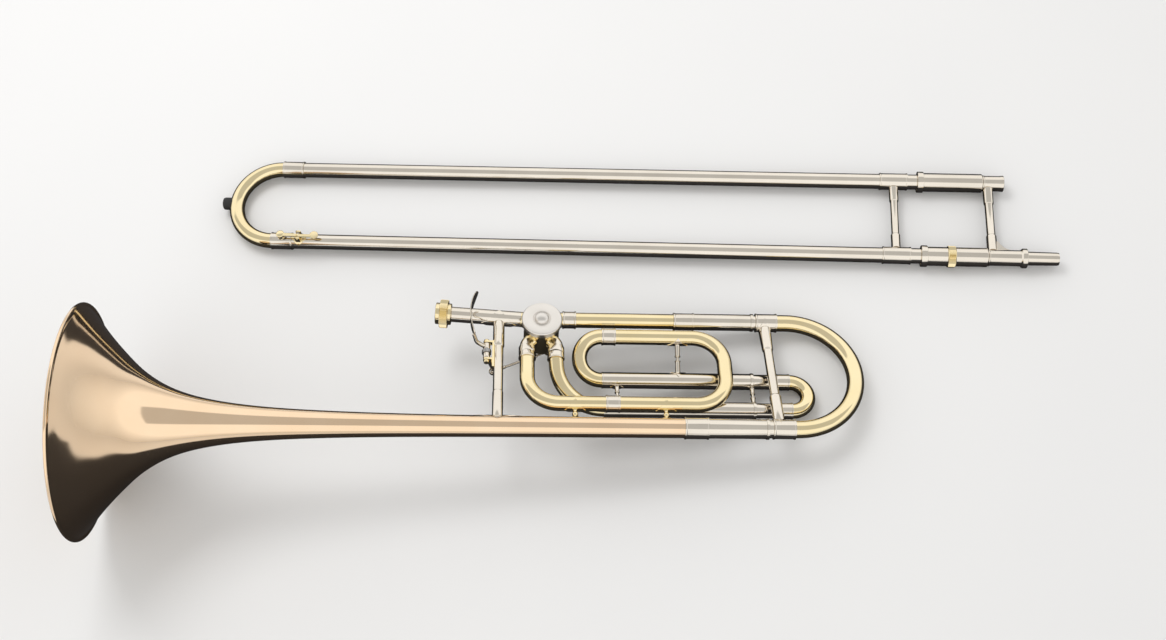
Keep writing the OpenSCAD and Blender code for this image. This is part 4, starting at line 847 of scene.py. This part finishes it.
# ------------------------------------------------------------------ the stage
def make_floor():
    data = bpy.data.meshes.new("floor")
    half = 40.0
    data.from_pydata([(-half, -half, 0), (half, -half, 0), (half, half, 0), (-half, half, 0)], [],
                     [(0, 1, 2, 3)])
    floor = bpy.data.objects.new("floor", data)
    bpy.context.scene.collection.objects.link(floor)
    made, tree, shader, make = start_material("pale_floor_painted_reflection")
    place = make("ShaderNodeTexCoord").outputs["Object"]
    fleck = make("ShaderNodeTexNoise", {"Vector": place, "Scale": 3.0, "Detail": 2.0})
    pale = make("ShaderNodeMix", {"Factor": fleck.outputs["Fac"]}, data_type="RGBA")
    pale.inputs["A"].default_value = (0.80, 0.80, 0.80, 1)
    pale.inputs["B"].default_value = (0.77, 0.77, 0.775, 1)
    # Painted reflection: glossy rays see a dark patch of floor under the instrument, so polished metal mirrors
    # dark there, as it would in a lined case. The camera sees the floor pale all over.
    painted_reflection_half_x, painted_reflection_half_y, painted_reflection_edge = 0.62, 0.40, 0.02
    at = make("ShaderNodeSeparateXYZ", {"Vector": place})

    def inside(part, half):
        far = make("ShaderNodeMath", {0: at.outputs[part]}, operation="ABSOLUTE").outputs[0]
        ends = {"Value": far, "From Min": half + painted_reflection_edge, "From Max": half - painted_reflection_edge}
        return make("ShaderNodeMapRange", ends, interpolation_type="SMOOTHSTEP").outputs["Result"]

    painted_reflection_patch = make("ShaderNodeMath", {0: inside("X", painted_reflection_half_x), 1: inside("Y", painted_reflection_half_y)},
                 operation="MULTIPLY")
    painted_reflection_mask = make("ShaderNodeMath", {0: make("ShaderNodeLightPath").outputs["Is Glossy Ray"],
                                       1: painted_reflection_patch.outputs[0]}, operation="MULTIPLY")
    floor_with_painted_reflection = make("ShaderNodeMix", {"Factor": painted_reflection_mask.outputs[0]}, data_type="RGBA")
    tree.links.new(pale.outputs["Result"], floor_with_painted_reflection.inputs["A"])
    # painted reflection: the dark colour that only glossy rays see inside the patch
    floor_with_painted_reflection.inputs["B"].default_value = (0.035, 0.034, 0.036, 1)
    tree.links.new(floor_with_painted_reflection.outputs["Result"], shader.inputs["Base Color"])
    shader.inputs["Roughness"].default_value = 0.9
    shader.inputs["Specular IOR Level"].default_value = 0.1
    data.materials.append(made)


def make_sky():
    """A white studio: bright walls, and a calmer panel straight overhead."""
    world = bpy.data.worlds.new("studio")
    bpy.context.scene.world = world
    world.use_nodes = True
    tree = world.node_tree
    make = node_maker(tree)
    way = make("ShaderNodeSeparateXYZ", {"Vector": make("ShaderNodeTexCoord").outputs["Generated"]})
    height = make("ShaderNodeMath", {0: way.outputs["Z"], 1: 0.02}, operation="MAXIMUM").outputs[0]

    def within(part, centre, half, edge):
        flat = make("ShaderNodeMath", {0: way.outputs[part], 1: height},
                    operation="DIVIDE").outputs[0]
        away = make("ShaderNodeMath", {0: flat, 1: centre}, operation="SUBTRACT").outputs[0]
        away = make("ShaderNodeMath", {0: away}, operation="ABSOLUTE").outputs[0]
        return make("ShaderNodeMapRange", {"Value": away, "From Min": half + edge,
                                           "From Max": half - edge},
                    interpolation_type="SMOOTHSTEP").outputs["Result"]

    panel = make("ShaderNodeMath", {0: within("X", 0.0, 1.5, 0.06),
                                    1: within("Y", 0.0, 0.58, 0.04)},
                 operation="MULTIPLY").outputs[0]
    low = make("ShaderNodeMapRange", {"Value": way.outputs["Z"], "From Min": -0.1,
                                      "From Max": 0.25}).outputs["Result"]
    bright = between(make, low, 0.55, 1.15)
    calm = make("ShaderNodeMix", {"Factor": panel, "A": bright, "B": 0.62},
                data_type="FLOAT").outputs["Result"]
    tree.links.new(calm, tree.nodes["Background"].inputs["Strength"])
    tree.nodes["Background"].inputs["Color"].default_value = (1.0, 0.99, 0.97, 1)


def make_key_light():
    """Shades the floor and the matt pieces. The metal doesn't mirror it, or it would burn out."""
    data = bpy.data.lights.new("key", "AREA")
    data.energy = 14
    data.shape = "RECTANGLE"
    data.size, data.size_y = 1.2, 0.8
    key = bpy.data.objects.new("key", data)
    key.location = (-0.7, 0.9, 1.8)
    key.rotation_euler = (-key.location).to_track_quat("-Z", "Y").to_euler()
    key.visible_glossy = False
    bpy.context.scene.collection.objects.link(key)


def make_camera():
    """The photograph's viewpoint: high in front, a little to the right, with a slight roll."""
    target, distance = Vector((-0.0061, 0.0265, 0)), 1.430
    elevation, azimuth, roll = math.radians(63.0), math.radians(5.6), math.radians(-7.0)
    back = Vector((math.sin(azimuth) * math.cos(elevation),
                   -math.cos(azimuth) * math.cos(elevation),
                   math.sin(elevation)))
    data = bpy.data.cameras.new("camera")
    data.sensor_width, data.lens = 36, 44.1
    camera = bpy.data.objects.new("camera", data)
    upright = back.to_track_quat("Z", "Y").to_matrix().to_4x4()
    camera.matrix_world = (Matrix.Translation(target + back * distance) @ upright
                           @ Matrix.Rotation(roll, 4, "Z"))
    bpy.context.scene.collection.objects.link(camera)
    bpy.context.scene.camera = camera


make_floor()
make_sky()
make_key_light()
make_camera()
bpy.context.scene.view_settings.view_transform = "Standard"
